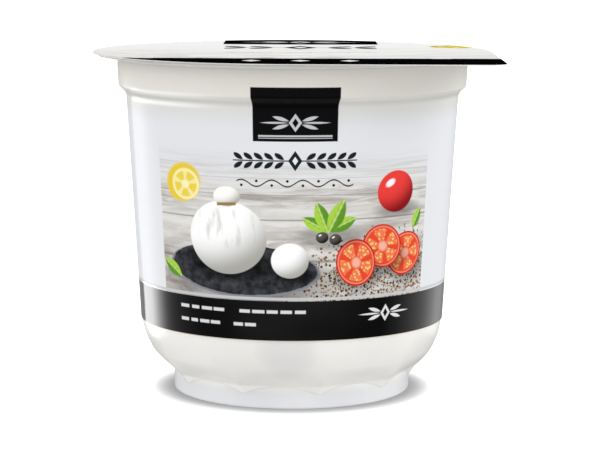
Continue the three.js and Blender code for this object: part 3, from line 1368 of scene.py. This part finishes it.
@dataclass
class Lid:
    """The printed sealing film: a disc whose front right quarter is filled out to a square pull tab."""

    columns: int = 720
    radius: float = 47.5
    top: float = 81.3
    thickness: float = 0.3
    ink_depth: float = 0.09
    corner_r: float = 4.5
    flange_r: float = 46.3
    seal_outer: float = 45.7
    seal_inner: float = 42.1
    seal_press: float = 0.05
    seal_edge: float = 0.2
    slack_from: float = 12.0
    sag: float = 0.16
    top_in_map: Pair = (0.785, 0.006)
    under_in_map: Pair = (0.19, 0.8)
    edge_in_map: tuple[Pair, Pair] = ((0.004, 0.78), (0.972, 0.008))

    def outline(self, angle: np.ndarray) -> np.ndarray:
        """How far the film's edge is from the axis.

        Between -Y and +X the edge is a square's: radius / cos(angle) along its front side, radius /
        sin(angle) along its right side, and between them the far crossing of the ray with the corner's
        circle, d.c + sqrt((d.c)^2 - |c|^2 + r^2). Elsewhere it is the plain radius.

        Args:
            angle: degrees from -Y towards +X.

        Returns:
            The edge's radius at each angle.
        """
        turn = np.radians(np.mod(angle, FULL_TURN))
        sine, cosine = np.sin(turn), np.cos(turn)
        side = self.radius - self.corner_r
        along = side * (sine + cosine)
        arc = along + np.sqrt(np.maximum(along**2 - 2.0 * side**2 + self.corner_r**2, 0.0))
        square = self.radius / np.maximum(np.maximum(sine, cosine), 1e-6)
        in_corner = (square * sine > side) & (square * cosine > side)
        edge = np.where(in_corner, arc, square)
        return np.where((sine > 0.0) & (cosine > 0.0), edge, self.radius)

    def face_rows(self, angle: np.ndarray) -> tuple[np.ndarray, np.ndarray]:
        """One side of the film, from its middle to its edge.

        The film lies a hundredth of a millimetre below its top, is pressed in where it is sealed to the
        flange, and sags a little inside the seal.

        Args:
            angle: each column's angle in degrees.

        Returns:
            Radii and depths below the top, rows by columns.
        """
        edge = self.outline(angle)[None, :]
        inner_seal, outer_seal, blur = self.seal_inner, self.seal_outer, self.seal_edge
        inner = np.concatenate([
            np.linspace(1.0, inner_seal - 0.5, 16),
            np.linspace(inner_seal - blur, inner_seal + blur, 4),
            np.linspace(inner_seal + 0.8, outer_seal - 0.8, 4),
            np.linspace(outer_seal - blur, outer_seal + blur, 4),
            [self.flange_r],
        ])[:, None]
        outward = np.linspace(0.0, 1.0, 13)[1:, None]
        outer = self.flange_r + (edge - self.flange_r) * outward
        radius = np.concatenate([inner * np.ones_like(edge), outer])
        pressed = clamp_step(radius, inner_seal - blur, inner_seal + blur)
        pressed = pressed * (1.0 - clamp_step(radius, outer_seal - blur, outer_seal + blur))
        slack = 1.0 - clamp_step(radius, self.slack_from, inner_seal - 2.0 * blur)
        return radius, 0.01 + self.seal_press * pressed + self.sag * slack

    def bake_place(self, radius: np.ndarray, angle: np.ndarray, square: Pair) -> np.ndarray:
        """Map places of a flat face that is laid out as a square.

        Args:
            radius: the places' radii.
            angle: their angles in degrees.
            square: the square's side, and where its lower left corner lies both ways.

        Returns:
            The map places.
        """
        size, corner = square
        radians = np.radians(angle)
        flat = np.stack([radius * np.sin(radians), -radius * np.cos(radians)], axis=-1)
        return corner + size * (flat / (2.0 * self.radius) + 0.5)

    def bake_corners(self, radius: np.ndarray, rows: int) -> np.ndarray:
        """Where each face's corners lie in the bake's map.

        Args:
            radius: radii of all rows: the underside outwards, the edge, and the top inwards.
            rows: how many rows one side of the film has.

        Returns:
            Map places, faces by 4 corners by 2.
        """
        band = np.arange(2 * rows)[:, None, None]
        corner_rows = band + ROWS_ON
        corner_columns = np.arange(self.columns)[:, None] + COLUMNS_ON
        corner_r = radius[corner_rows, corner_columns % self.columns]
        angles = np.broadcast_to(corner_columns * FULL_TURN / self.columns, corner_r.shape)
        (left, width), (low, row_height) = self.edge_in_map
        edge_u = left + width * angles / FULL_TURN
        edge_v = np.broadcast_to(low + row_height * (corner_rows - rows + 1), edge_u.shape)
        edge_map = np.stack([edge_u, edge_v], axis=-1)
        under_map = self.bake_place(corner_r, angles, self.under_in_map)
        top_map = self.bake_place(corner_r, angles, self.top_in_map)
        is_edge = ((band == rows - 1) | (band == rows))[..., None]
        return np.where(is_edge, edge_map, np.where((band > rows)[..., None], top_map, under_map))

    def build(self) -> bpy.types.Object:
        """Makes the film: its underside outwards, its cut edge, and its top inwards."""
        step = FULL_TURN / self.columns
        angle = np.arange(self.columns) * step
        face_r, depth = self.face_rows(angle)
        rows = len(face_r)
        bottom = np.full_like(face_r, self.top - self.thickness)
        ink_edge = np.full_like(face_r[:1], self.top - self.ink_depth)
        radius = np.concatenate([face_r, face_r[-1:], face_r[::-1]])
        height = np.concatenate([bottom, ink_edge, self.top - depth[::-1]])
        fan_r = np.stack([np.zeros(self.columns), face_r[0], face_r[0]], axis=-1)
        fan_angle = np.stack([angle, angle + step, angle], axis=-1)
        surface = TurnedSurface(
            "lid_film",
            turned(radius, height, angle),
            poles=(self.top - self.thickness, float(self.top - depth[0, 0])),
            bake_map=self.bake_corners(radius, rows),
            pole_maps=(
                self.bake_place(fan_r, fan_angle, self.under_in_map),
                self.bake_place(fan_r[:, [1, 2, 0]], fan_angle, self.top_in_map),
            ),
            row_materials=np.where(np.arange(2 * rows) < rows, 1, 0),
        )
        return surface.build()


# -------------------------------------------------------------------------------------------- finishes


@dataclass(frozen=True)
class MilkyPlastic:
    """The pot's milky white plastic: softly glossy, with faint cloudy streaks of thicker and thinner wall.

    A faint grey patch of painted shade darkens the front of the bowl, the teeth between the bowl's crease and
    the foot are painted lighter as painted light, and the flange's rim is painted darker as painted shade.
    """

    finish: Finish = Finish("milky_plastic", subsurface=0.25, subsurface_depth=1.6)
    foot_top: float = 4.3
    painted_shade_rim_z: float = 80.2
    painted_front_shade: Pair = (-1.0, 15.5)
    painted_front_shade_half: Pair = (8.0, 8.5)
    lit_teeth_r: float = 28.6
    lit_teeth_top: float = 5.5

    def make(self) -> bpy.types.Material:
        """Builds the material."""
        material, shader = self.finish.start()
        place = shader.object_place()
        x, y, z = shader.parts(place)
        cloud = shader.noise(place, 16.0, 3.0)
        clouded = shader.step(cloud, 0.35, 0.65)
        bowl = shader.mix(clouded, Ink.BOWL_CLOUD, Ink.BOWL)
        foot = shader.mix(clouded, Ink.FOOT_CLOUD, Ink.FOOT)
        # Painted shade: a soft grey patch on the front of the bowl, darker than the bowl's own white.
        across = (x - self.painted_front_shade[0]) / self.painted_front_shade_half[0]
        up = (z - self.painted_front_shade[1]) / self.painted_front_shade_half[1]
        painted_front_shade = shader.squares(across, up).under(0.6, 1.0) * y.under(0.0, 1.0)
        bowl = shader.mix(painted_front_shade, bowl, Ink.BOWL_PAINTED_SHADE)
        colour = shader.mix(z.over(self.foot_top, 1.8), foot, bowl)
        # Painted light: the teeth below the crease are painted lighter than the foot and bowl.
        reach = shader.maths("SQRT", shader.squares(x, y))
        teeth = reach.over(self.lit_teeth_r, 0.3) * z.under(self.lit_teeth_top, 0.3)
        colour = shader.mix(teeth, colour, Ink.TEETH_PAINTED_LIGHT)
        # Painted shade: the flange's rim is painted darker, to the collar's shaded tone.
        colour = shader.mix(z.over(self.painted_shade_rim_z, 0.3), colour, Ink.RIM_PAINTED_SHADE)
        grain = shader.noise(place, 0.8)
        roughness = shader.spread(cloud, 0.3, 0.7, 0.20, 0.27)
        self.finish.close(shader, colour, roughness, shader.bump(grain, 0.01))
        return material


@dataclass(frozen=True)
class SleevePrint:
    """The sleeve's printed outer side.

    Its flat place is the angle from -Y times a mean radius across, and the height up. From the bottom it
    carries a thin cream line, a black band with fine dashes, a silver line, a white ground with a still life
    of cheese, fruit and leaves on pale planks, a garland and a wavy rule, and a black badge. The film's white
    is painted with shade, a little greyer towards the top of the wall and over the shoulder, and with two
    thin painted highlight lines along the shoulder on the left.
    """

    finish: Finish = Finish("sleeve_print", specular=0.0)
    label_gloss: float = 0.25
    mean_r: float = 38.0
    cream_top: float = 17.66
    band_top: float = 26.85
    line_bottom: float = 27.05
    line_top: float = 27.7
    # Painted shade: where the film's white turns greyer towards the top of the wall.
    painted_shade_middle: float = 68.0
    wall_top: float = 71.3
    collar_foot: float = 72.3
    # Painted highlights: the heights of two white lines along the shoulder, and where they fade out across.
    folds: Pair = (70.9, 73.2)
    highlights_fade_right: Pair = (-12.0, -31.0)
    highlights_fade_left: float = -37.4
    picture_middle: float = 0.7
    picture_half: float = 34.9
    badge: Pair = (0.82, 69.5)
    badge_half: Pair = (9.3, 6.15)
    table: Pair = (-88.0, 46.5)
    table_half: Pair = (22.0, 13.0)
    table_row: float = 3.25
    table_column: float = 8.0
    text_corner: Pair = (66.0, 60.0)

    def picture(self, art: Print) -> None:
        """The still life, on planks that fade into the ground, cut off at both sides of its field."""
        ground = art.colour
        art.planks(74.0, 114.0, 50.0, 61.5)
        art.lay(art.disc((-26.6, 53.2), (5.2, 4.4), 20.0, 0.9), Ink.YELLOW_FRUIT)
        art.slice((-25.8, 52.8), 4.1, YELLOW_SLICE)
        art.pepper((23.0, 31.0), (14.0, 4.6), 0.95)
        art.tied_cheese((-15.2, 41.2), 9.6)
        art.red_slices((22.2, 38.2), 5.5)
        art.shadow((26.6, 47.2), (6.4, 1.7), 0.6)
        art.ball((25.4, 51.3), (5.2, 4.8), (Ink.RED_FRUIT, Ink.RED_FRUIT_DARK), 0.9)
        art.sprig((8.4, 43.2), 8.6)
        art.leaf((-31.0, 33.0), 7.0, 3.0, -32.0, LEAF_INKS)
        art.leaf((32.4, 44.6), 5.6, 2.5, 62.0, LEAF_INKS)
        off = abs(art.scale(1.0, 0.0, -self.picture_middle))
        art.lay(off.over(self.picture_half, 0.35), ground)

    def back(self, art: Print) -> None:
        """Rows of dashes on one half of the back, and a ruled table on the other."""
        art.small_print(self.text_corner, 46.0, 9, 2.9, 3.6, Ink.GREY_DASH)
        x, y = art.local(self.table, (1.0, 1.0))
        far_x, far_y = abs(x), abs(y)
        width, height = self.table_half
        rules = abs((y / self.table_row).past() - 0.5).over(0.46, 0.03)
        sides = far_x.over(width - 0.25, 0.1).most(abs(x - self.table_column).under(0.12, 0.1))
        inside = far_x.under(width, 0.1) * far_y.under(height + 0.1, 0.1)
        art.lay(inside * rules.most(sides), Ink.GREY_DASH)
        left, top = self.table[0] - width + 1.0, self.table[1] + height
        art.small_print((left, top), 24.0, 8, self.table_row, 4.2, Ink.GREY_DASH)
        second = self.table[0] + self.table_column + 1.5
        art.small_print((second, top), 9.0, 8, self.table_row, 4.2, Ink.GREY_DASH)

    def band(self, art: Print) -> None:
        """The black band with its lines, its two rows of dashes and its ornament."""
        art.lay(art.up.under(self.band_top, 0.15), Ink.BLACK)
        middle, half = (self.line_bottom + self.line_top) / 2.0, (self.line_top - self.line_bottom) / 2.0
        art.lay(abs(art.up - middle).under(half, 0.15), Ink.SILVER_LINE)
        art.lay(art.up.under(self.cream_top, 0.08), Ink.CREAM)
        art.small_print((-29.2, 25.7), 40.0, 1, 2.7, 3.3, Ink.PALE_DASH)
        art.small_print((-29.2, 22.6), 24.0, 1, 2.7, 3.0, Ink.PALE_DASH)
        art.flourish((23.8, 23.2), 7.4, Ink.ORNAMENT, Ink.BLACK)

    def top_badge(self, art: Print) -> None:
        """A black badge over the shoulder, with a silver double rule and a small silver ornament."""
        across, up = self.badge
        art.lay(art.bar(self.badge, self.badge_half), Ink.BADGE)
        for drop, thick in ((4.9, 0.2), (5.4, 0.08)):
            rule = art.bar((across, up - drop), (self.badge_half[0] - 1.2, thick), blur=FINE_EDGE)
            art.lay(rule, Ink.SILVER)
        art.flourish((across, up - 1.9), 7.6, Ink.SILVER, Ink.BADGE)

    def ground(self, shader: Shader, place: Wire) -> Wire:
        """The film's white, from its foot up over the shoulder to the collar, with painted shade greyer
        towards the top of the wall and over the shoulder, and two painted highlight lines on the left.

        Args:
            shader: the material's nodes.
            place: the place on the object.

        Returns:
            The colour.
        """
        x, _, z = shader.parts(place)
        # Painted shade: the white darkens towards the top of the wall.
        white = shader.mix(z.over(self.painted_shade_middle, 5.0), Ink.SLEEVE_LOW, Ink.SLEEVE_PAINTED_SHADE_HIGH)
        # Painted shade: the shoulder is painted greyer still.
        white = shader.mix(z.over(self.wall_top, 0.9), white, Ink.SLEEVE_SHOULDER_PAINTED_SHADE)
        white = shader.mix(z.over(self.collar_foot, 0.7), white, Ink.SLEEVE_COLLAR)
        # Painted highlights: two white lines along the shoulder on the left, fading out towards the middle
        # and again close to the left side.
        low, high = (abs(z - fold).under(0.5, 0.9) for fold in self.folds)
        highlights_on_left = shader.step(x, *self.highlights_fade_right, 0.0, 0.85) * x.over(self.highlights_fade_left, 1.4)
        white = shader.mix(low.most(high) * highlights_on_left, white, Ink.WHITE)
        return shader.multiply(shader.noise(place, 22.0) * 0.06, white, Ink.SLEEVE_CLOUD)

    def make(self) -> bpy.types.Material:
        """Builds the material."""
        material, shader = self.finish.start()
        place = shader.object_place()
        x, y, z = shader.parts(place)
        turn = shader.maths("ARCTAN2", x, 0.0 - y)
        art = Print.on(shader, turn * self.mean_r, z, self.ground(shader, place))
        self.picture(art)
        art.garland((0.8, 59.0), (13.9, 2.3))
        art.wavy_rule((0.8, 53.9), 13.2, 1.5)
        self.back(art)
        self.band(art)
        self.top_badge(art)
        film = shader.noise(place, 9.0)
        roughness = shader.spread(film, 0.3, 0.7, 0.30, 0.36)
        gloss = shader.step(z, self.line_bottom, self.line_top, 1.0, self.label_gloss)
        self.finish.close(shader, art.colour, roughness, shader.bump(film, 0.012), {"Coat Weight": gloss})
        return material


@dataclass(frozen=True)
class FilmCore:
    """Bare film: the white of a cut edge and of the inner side."""

    finish: Finish = Finish("film_core", specular=0.4)

    def make(self) -> bpy.types.Material:
        """Builds the material."""
        material, shader = self.finish.start()
        cloud = shader.noise(shader.object_place(), 5.0, 3.0)
        colour = shader.mix(cloud, Ink.BARE_FILM_CLOUD, Ink.BARE_FILM)
        self.finish.close(shader, colour, 0.4, shader.bump(cloud, 0.01))
        return material


@dataclass(frozen=True)
class LidPrint:
    """The lid's printed top, upright for a viewer in front.

    It has a black front edge with three pale marks, faint pale planks, a wavy rule, a garland, a yellow
    fruit and a black badge at the back. A knurled ring shows where the film is sealed. The film is glossy but
    for its strong inks, which are matt: those that hold little blue.
    """

    finish: Finish = Finish("lid_print", specular=0.0, coat_roughness=0.14)
    middle: float = 1.9
    front_edge: float = -27.8
    marks_up: float = -36.4
    marks_apart: float = 11.0
    badge_up: float = 37.5
    badge_half: Pair = (19.4, 10.0)
    seal_middle: float = 43.9
    seal_half: float = 1.8
    teeth: float = 150.0
    strong_ink: Pair = (0.42, 0.16)

    def knurl(self, shader: Shader, x: Wire, y: Wire) -> Wire:
        """The seal's relief, from -1 to 1: a wave round the ring times a wave across it."""
        reach = shader.maths("SQRT", shader.squares(x, y))
        ring = abs(reach - self.seal_middle).under(self.seal_half, 0.4)
        across = (reach * math.tau / self.seal_half).sin()
        return (shader.maths("ARCTAN2", y, x) * self.teeth).sin() * across * ring

    def make(self) -> bpy.types.Material:
        """Builds the material."""
        material, shader = self.finish.start()
        place = shader.object_place()
        x, y, _ = shader.parts(place)
        film = shader.noise(place, 12.0)
        ground = shader.mix(film, Ink.LID_FILM_CLOUD, Ink.LID_FILM)
        art = Print.on(shader, x, y, ground)
        art.planks(60.0, 190.0, -26.0, 26.0, 0.95)
        art.lay(art.disc((40.0, 19.4), (6.4, 5.8), 20.0, 0.9), Ink.LID_FRUIT)
        art.slice((40.4, 18.8), 5.2, LID_SLICE)
        art.garland((self.middle, 15.5), (18.6, 6.4))
        art.wavy_rule((self.middle, -4.0), 18.0, 2.0)
        art.lay(art.up.under(self.front_edge, 0.2), Ink.BLACK)
        for step in (-1.0, 0.0, 1.0):
            mark = (self.middle + self.marks_apart * step, self.marks_up)
            art.lay(art.lozenge(mark, (2.2, 3.0)), Ink.PALE_MARK)
        badge = (self.middle, self.badge_up)
        art.lay(art.bar(badge, self.badge_half), Ink.BLACK)
        art.flourish((self.middle, self.badge_up - 1.0), 15.0, Ink.SILVER, Ink.BLACK)
        height = shader.maths("MULTIPLY_ADD", self.knurl(shader, x, y), 0.5, film)
        blue = shader.parts(art.colour)[2]
        gloss = art.up.over(self.front_edge, 0.2) - art.bar(badge, self.badge_half)
        gloss = gloss * blue.over(*self.strong_ink)
        self.finish.close(shader, art.colour, 0.3, shader.bump(height, 0.02), {"Coat Weight": gloss})
        return material


# ---------------------------------------------------------------------------------------------- studio


@dataclass(frozen=True)
class Softbox:
    """A rectangular light that faces a point. Its lengths are in metres and its power is in watts."""

    name: str
    place: Triple
    power: float
    aim: Triple = (0.0, 0.0, 0.04)
    size: Pair = (0.7, 0.6)

    def build(self) -> bpy.types.Object:
        """Adds the light, which only matt surfaces see."""
        light = bpy.data.lights.new(self.name, "AREA")
        light.shape = "RECTANGLE"
        light.size, light.size_y = self.size
        light.energy = self.power
        made = bpy.data.objects.new(self.name, light)
        made.location = self.place
        made.rotation_euler = (Vector(self.aim) - Vector(self.place)).to_track_quat("-Z", "Y").to_euler()
        made.visible_camera = False
        made.visible_glossy = False
        bpy.context.scene.collection.objects.link(made)
        return made


Levels = tuple[Pair, ...]


@dataclass(frozen=True)
class Studio:
    """The camera, the floor, and the light.

    Matt surfaces are lit by the room and the softboxes, and gloss sees the mirrored room alone. Levels are
    (degrees from -Y, brightness) pairs round the horizon, in order.
    """

    lens: float = 137.77
    sensor: float = 36.0
    near_and_far: Pair = (0.05, 40.0)
    eye: Triple = (0.00194, -0.5493, 0.11422)
    pitch: float = 7.768
    roll: float = 0.2
    floor_half: float = 5.0
    floor_glow: float = 0.9
    floor_tones: Pair = (0.90, 0.91)
    # The painted shadow round the foot: where the glow dims, where the colour darkens, and its tone.
    glow_shadow_ring: Pair = (28.0, 40.0)
    painted_shadow_ring: Pair = (28.4, 38.0)
    painted_shadow_tone: Colour = (0.44, 0.44, 0.45, 1.0)
    walls: Levels = ((0, 0.42), (60, 0.45), (100, 0.6), (130, 0.6), (150, 0.3), (180, 0.1))
    table: Levels = ((0, 0.5), (40, 1.1), (80, 1.4), (120, 1.3), (150, 0.8), (180, 0.5))
    table_right: float = 0.86
    table_under: float = 0.5
    dome: float = 0.78
    dome_edge: Pair = (0.5, 0.3)
    left_panel: Levels = (
        (0, 0.02), (70, 0.09), (84, 0.2), (94, 0.34), (100, 0.49), (104, 0.7), (107.6, 0.98), (111.6, 1.6),
        (116, 2.5), (120.5, 3.5), (125.5, 4.5), (131, 5.0), (137, 4.3), (144.6, 3.4), (147.5, 3.1),
        (149.5, 0.5), (155, 0.5), (180, 0.4),
    )
    right_panel: Levels = (
        (0, 0.02), (72, 0.06), (87, 0.28), (101, 0.6), (116, 0.95), (127, 1.3), (139, 1.4), (149, 1.0),
        (160, 0.5), (180, 0.3),
    )
    mirrored_walls: Levels = ((0, 0.05), (70, 0.2), (110, 0.5), (145, 0.76), (180, 0.8))
    panels_top: Pair = (-5.55, -4.95)
    panels_foot: Pair = (-24.0, -15.0)
    panels_slant: float = 0.23
    level_swing: float = 0.924
    unlit: Pair = (0.12, 0.3)
    foot_pool: float = 60.0
    foot_pool_tones: Pair = (0.35, 0.4)
    softboxes: tuple[Softbox, ...] = (
        Softbox("key_left", (-0.80, -0.52, 0.60), 3.0),
        Softbox("key_right", (0.80, -0.52, 0.60), 3.3),
        Softbox("front", (0.26, -0.90, 0.17), 1.8),
        Softbox("top", (0.0, 0.1, 1.2), 2.9, (0.0, 0.0, 0.08), (0.8, 0.8)),
    )
    ramp_range: float = 10.0

    def camera(self) -> None:
        """Adds the camera, facing +Y but for its downward pitch and a slight roll about its own axis."""
        data = bpy.data.cameras.new("camera")
        data.lens = self.lens
        data.sensor_width = self.sensor
        data.clip_start, data.clip_end = self.near_and_far
        made = bpy.data.objects.new("camera", data)
        made.location = self.eye
        pitch = Matrix.Rotation(math.radians(90.0 - self.pitch), 3, "X")
        made.rotation_euler = (pitch @ Matrix.Rotation(math.radians(self.roll), 3, "Z")).to_euler()
        bpy.context.scene.collection.objects.link(made)
        bpy.context.scene.camera = made

    def stage_mesh(
        self,
        name: str,
        corners: Sequence[tuple[float, ...]],
        faces: Sequence[tuple[int, ...]],
        material: bpy.types.Material,
    ) -> bpy.types.Object:
        """Adds a piece of the stage.

        Args:
            name: its name.
            corners: its corners, in metres.
            faces: its faces.
            material: its material.

        Returns:
            The object.
        """
        mesh = bpy.data.meshes.new(name)
        mesh.from_pydata(corners, [], faces)
        mesh.materials.append(material)
        made = bpy.data.objects.new(name, mesh)
        bpy.context.scene.collection.objects.link(made)
        return made

    def floor(self) -> None:
        """Adds the plain pale floor, which glows but for a painted shadow: a ring close round the foot where
        both its glow and its colour are darker.

        It lights nothing itself: the room does so from below.
        """
        half = self.floor_half
        corners = [(-half, -half, 0.0), (half, -half, 0.0), (half, half, 0.0), (-half, half, 0.0)]
        finish = Finish("pale_floor", specular=0.0)
        material, shader = finish.start()
        place = shader.object_place()
        reach = shader.vector("LENGTH", place, output=1)
        # Painted shadow: the glow and the colour are both darker in a ring round the foot.
        glow = shader.mix(shader.step(reach, *self.glow_shadow_ring), grey(0.05), grey(1.0))
        pale = shader.mix(shader.noise(place, 900.0, 1.0), *(grey(tone) for tone in self.floor_tones))
        pale = shader.mix(shader.step(reach, *self.painted_shadow_ring), self.painted_shadow_tone, pale)
        shining = {"Emission Color": glow, "Emission Strength": self.floor_glow}
        finish.close(shader, pale, 0.9, None, shining)
        made = self.stage_mesh("floor", corners, [(0, 1, 2, 3)], material)
        made.visible_glossy = False
        made.visible_diffuse = False
        made.visible_shadow = False

    def swing(self, shader: Shader, direction: Wire) -> Wire:
        """How far round a direction points: 0 on the camera's side and 1 right behind."""
        level = shader.vector("NORMALIZE", shader.vector("MULTIPLY", direction, (1.0, 1.0, 0.0)))
        return shader.parts(level)[1] * 0.5 + 0.5

    def round_horizon(self, shader: Shader, swing: Wire, levels: Levels) -> Wire:
        """The brightness round the horizon.

        Args:
            shader: the room's nodes.
            swing: 0 on the camera's side and 1 right behind.
            levels: the levels.

        Returns:
            The brightness as a colour.
        """
        stops = [(0.5 - 0.5 * heading(turn)[0], grey(level / self.ramp_range)) for turn, level in levels]
        ramp = shader.wire(shader.node("ShaderNodeValToRGB", {"stops": stops}, {"Fac": swing}))
        return shader.scaled(ramp, self.ramp_range)

    def under_dome(self, shader: Shader, swing: Wire, z: Wire, levels: Levels) -> Wire:
        """Walls of those levels, under the white dome.

        Args:
            shader: the room's nodes.
            swing: 0 on the camera's side and 1 right behind.
            z: how steeply the direction rises.
            levels: the walls' levels.

        Returns:
            The brightness as a colour.
        """
        walls = self.round_horizon(shader, swing, levels)
        return shader.mix(z.over(*self.dome_edge), walls, grey(self.dome))

    def room(self) -> None:
        """Lights the room for matt surfaces: dim walls, a white dome, and the lit table from below.

        The table is dimmer straight below and a little dimmer on the right. The camera sees plain white.
        """
        world = bpy.data.worlds.new("room")
        bpy.context.scene.world = world
        world.use_nodes = True
        world.cycles_visibility.glossy = False
        shader = Shader(world.node_tree)
        direction = shader.wire(shader.node("ShaderNodeTexCoord"), "Generated")
        x, _, z = shader.parts(direction)
        swing = self.swing(shader, direction)
        above = self.under_dome(shader, swing, z, self.walls)
        share = shader.step(z, -0.95, -0.5, self.table_under, 1.0)
        share = share * shader.step(x, -0.8, 0.8, 1.0, self.table_right)
        below = shader.mix(share, grey(0.0), self.round_horizon(shader, swing, self.table))
        tone = shader.mix(z.over(0.0, 0.04), below, above)
        seen = shader.wire(shader.node("ShaderNodeLightPath"), "Is Camera Ray")
        tone = shader.mix(seen, tone, grey(1.0))
        shader.end("ShaderNodeBackground", {"Color": tone, "Strength": 1.0}, "ShaderNodeOutputWorld")

    def glow(self, name: str) -> tuple[bpy.types.Material, Shader]:
        """A new material that only shines, for what gloss sees, and the builder of its nodes."""
        material = bpy.data.materials.new(name)
        material.use_nodes = True
        material.cycles.emission_sampling = "NONE"
        return material, Shader(material.node_tree)

    def seen_by_gloss(self, made: bpy.types.Object) -> None:
        """Hides a piece of the stage from all but reflections."""
        made.visible_camera = False
        made.visible_diffuse = False
        made.visible_shadow = False
        made.visible_transmission = False

    def mirrored_room(self) -> None:
        """Adds what gloss sees: a far box, whose brightness depends on the direction alone.

        Below the horizon a panel on either side runs round from the dark front to its bright end behind, and
        fades out upwards and downwards. Its upper edge rises by the slant times the swing, and is at its own
        height where the swing is level_swing. Above the horizon are pale walls under a white dome.
        """
        far = self.floor_half
        corners = [(far * i, far * j, far * k) for i in (-1, 1) for j in (-1, 1) for k in (-1, 1)]
        faces = [(0, 1, 3, 2), (4, 6, 7, 5), (0, 4, 5, 1), (2, 3, 7, 6), (0, 2, 6, 4), (1, 5, 7, 3)]
        material, shader = self.glow("mirrored_room")
        direction = shader.vector("NORMALIZE", shader.object_place())
        x, _, z = shader.parts(direction)
        swing = self.swing(shader, direction)
        left = self.round_horizon(shader, swing, self.left_panel)
        right = self.round_horizon(shader, swing, self.right_panel)
        slanted = shader.maths("MULTIPLY_ADD", swing, -self.panels_slant, z)
        slanted = slanted + self.level_swing * self.panels_slant
        top, foot = self.heights(self.panels_top), self.heights(self.panels_foot)
        lit = shader.step(slanted, *top, 1.0, 0.0) * shader.step(z, *foot)
        level = shader.step(z, *foot, *self.unlit)
        panels = shader.mix(x.over(0.0, 0.1), left, right)
        tone = shader.mix(lit, shader.joined(level, level, level), panels)
        above = self.under_dome(shader, swing, z, self.mirrored_walls)
        tone = shader.mix(z.over(0.0, 0.02), tone, above)
        shader.end("ShaderNodeEmission", {"Color": tone, "Strength": 1.0})
        self.seen_by_gloss(self.stage_mesh("mirrored_room", corners, faces, material))

    def mirrored_foot_pool(self) -> None:
        """Adds the dim disc round the foot that gloss sees in place of the shaded floor there."""
        sides, lift = 64, 0.0002
        turns = np.linspace(0.0, math.tau, sides, endpoint=False)
        reach = self.foot_pool * MM
        corners = [(reach * math.cos(turn), reach * math.sin(turn), lift) for turn in turns]
        material, shader = self.glow("mirrored_foot_pool")
        cloud = shader.noise(shader.object_place(), 40.0)
        tone = shader.mix(cloud, *(grey(tone) for tone in self.foot_pool_tones))
        shader.end("ShaderNodeEmission", {"Color": tone, "Strength": 1.0})
        self.seen_by_gloss(self.stage_mesh("mirrored_foot_pool", corners, [tuple(range(sides))], material))

    @staticmethod
    def heights(angles: Pair) -> Pair:
        """The heights of directions that rise by two angles, in degrees."""
        return heading(angles[0])[1], heading(angles[1])[1]

    def build(self) -> None:
        """Sets up the whole studio."""
        self.camera()
        self.floor()
        self.mirrored_room()
        self.mirrored_foot_pool()
        self.room()
        for softbox in self.softboxes:
            softbox.build()
        bpy.context.scene.view_settings.view_transform = "Standard"


# ------------------------------------------------------------------------------------------------ main


def dress(piece: bpy.types.Object, node: str, materials: Sequence[bpy.types.Material]) -> None:
    """Gives a piece its finishes and puts it in the place of a solid.

    Args:
        piece: the new piece.
        node: the solid that it stands for.
        materials: its finishes, in the order of its faces' numbers.
    """
    for material in materials:
        piece.data.materials.append(material)
    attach(piece, "root")
    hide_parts(node)
    low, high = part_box(node)
    corners = np.array([v[:] for v in piece.bound_box])
    off = max(np.abs(corners.min(0) - np.array(low)).max(), np.abs(corners.max(0) - np.array(high)).max())
    LOG.info("%s: %d faces, %.2f mm off its solid's box", piece.name, len(piece.data.polygons), off / MM)


def main() -> None:
    """Builds the studio and the three pieces, and notes the size."""
    logging.basicConfig(level=logging.INFO, format="%(name)s: %(message)s")
    Studio().build()
    core = FilmCore().make()
    dress(Pot().build(), "pot", [MilkyPlastic().make()])
    dress(Sleeve().build(), "sleeve", [SleevePrint().make(), core])
    dress(Lid().build(), "lid", [LidPrint().make(), core])


if __name__ == "__main__":
    main()
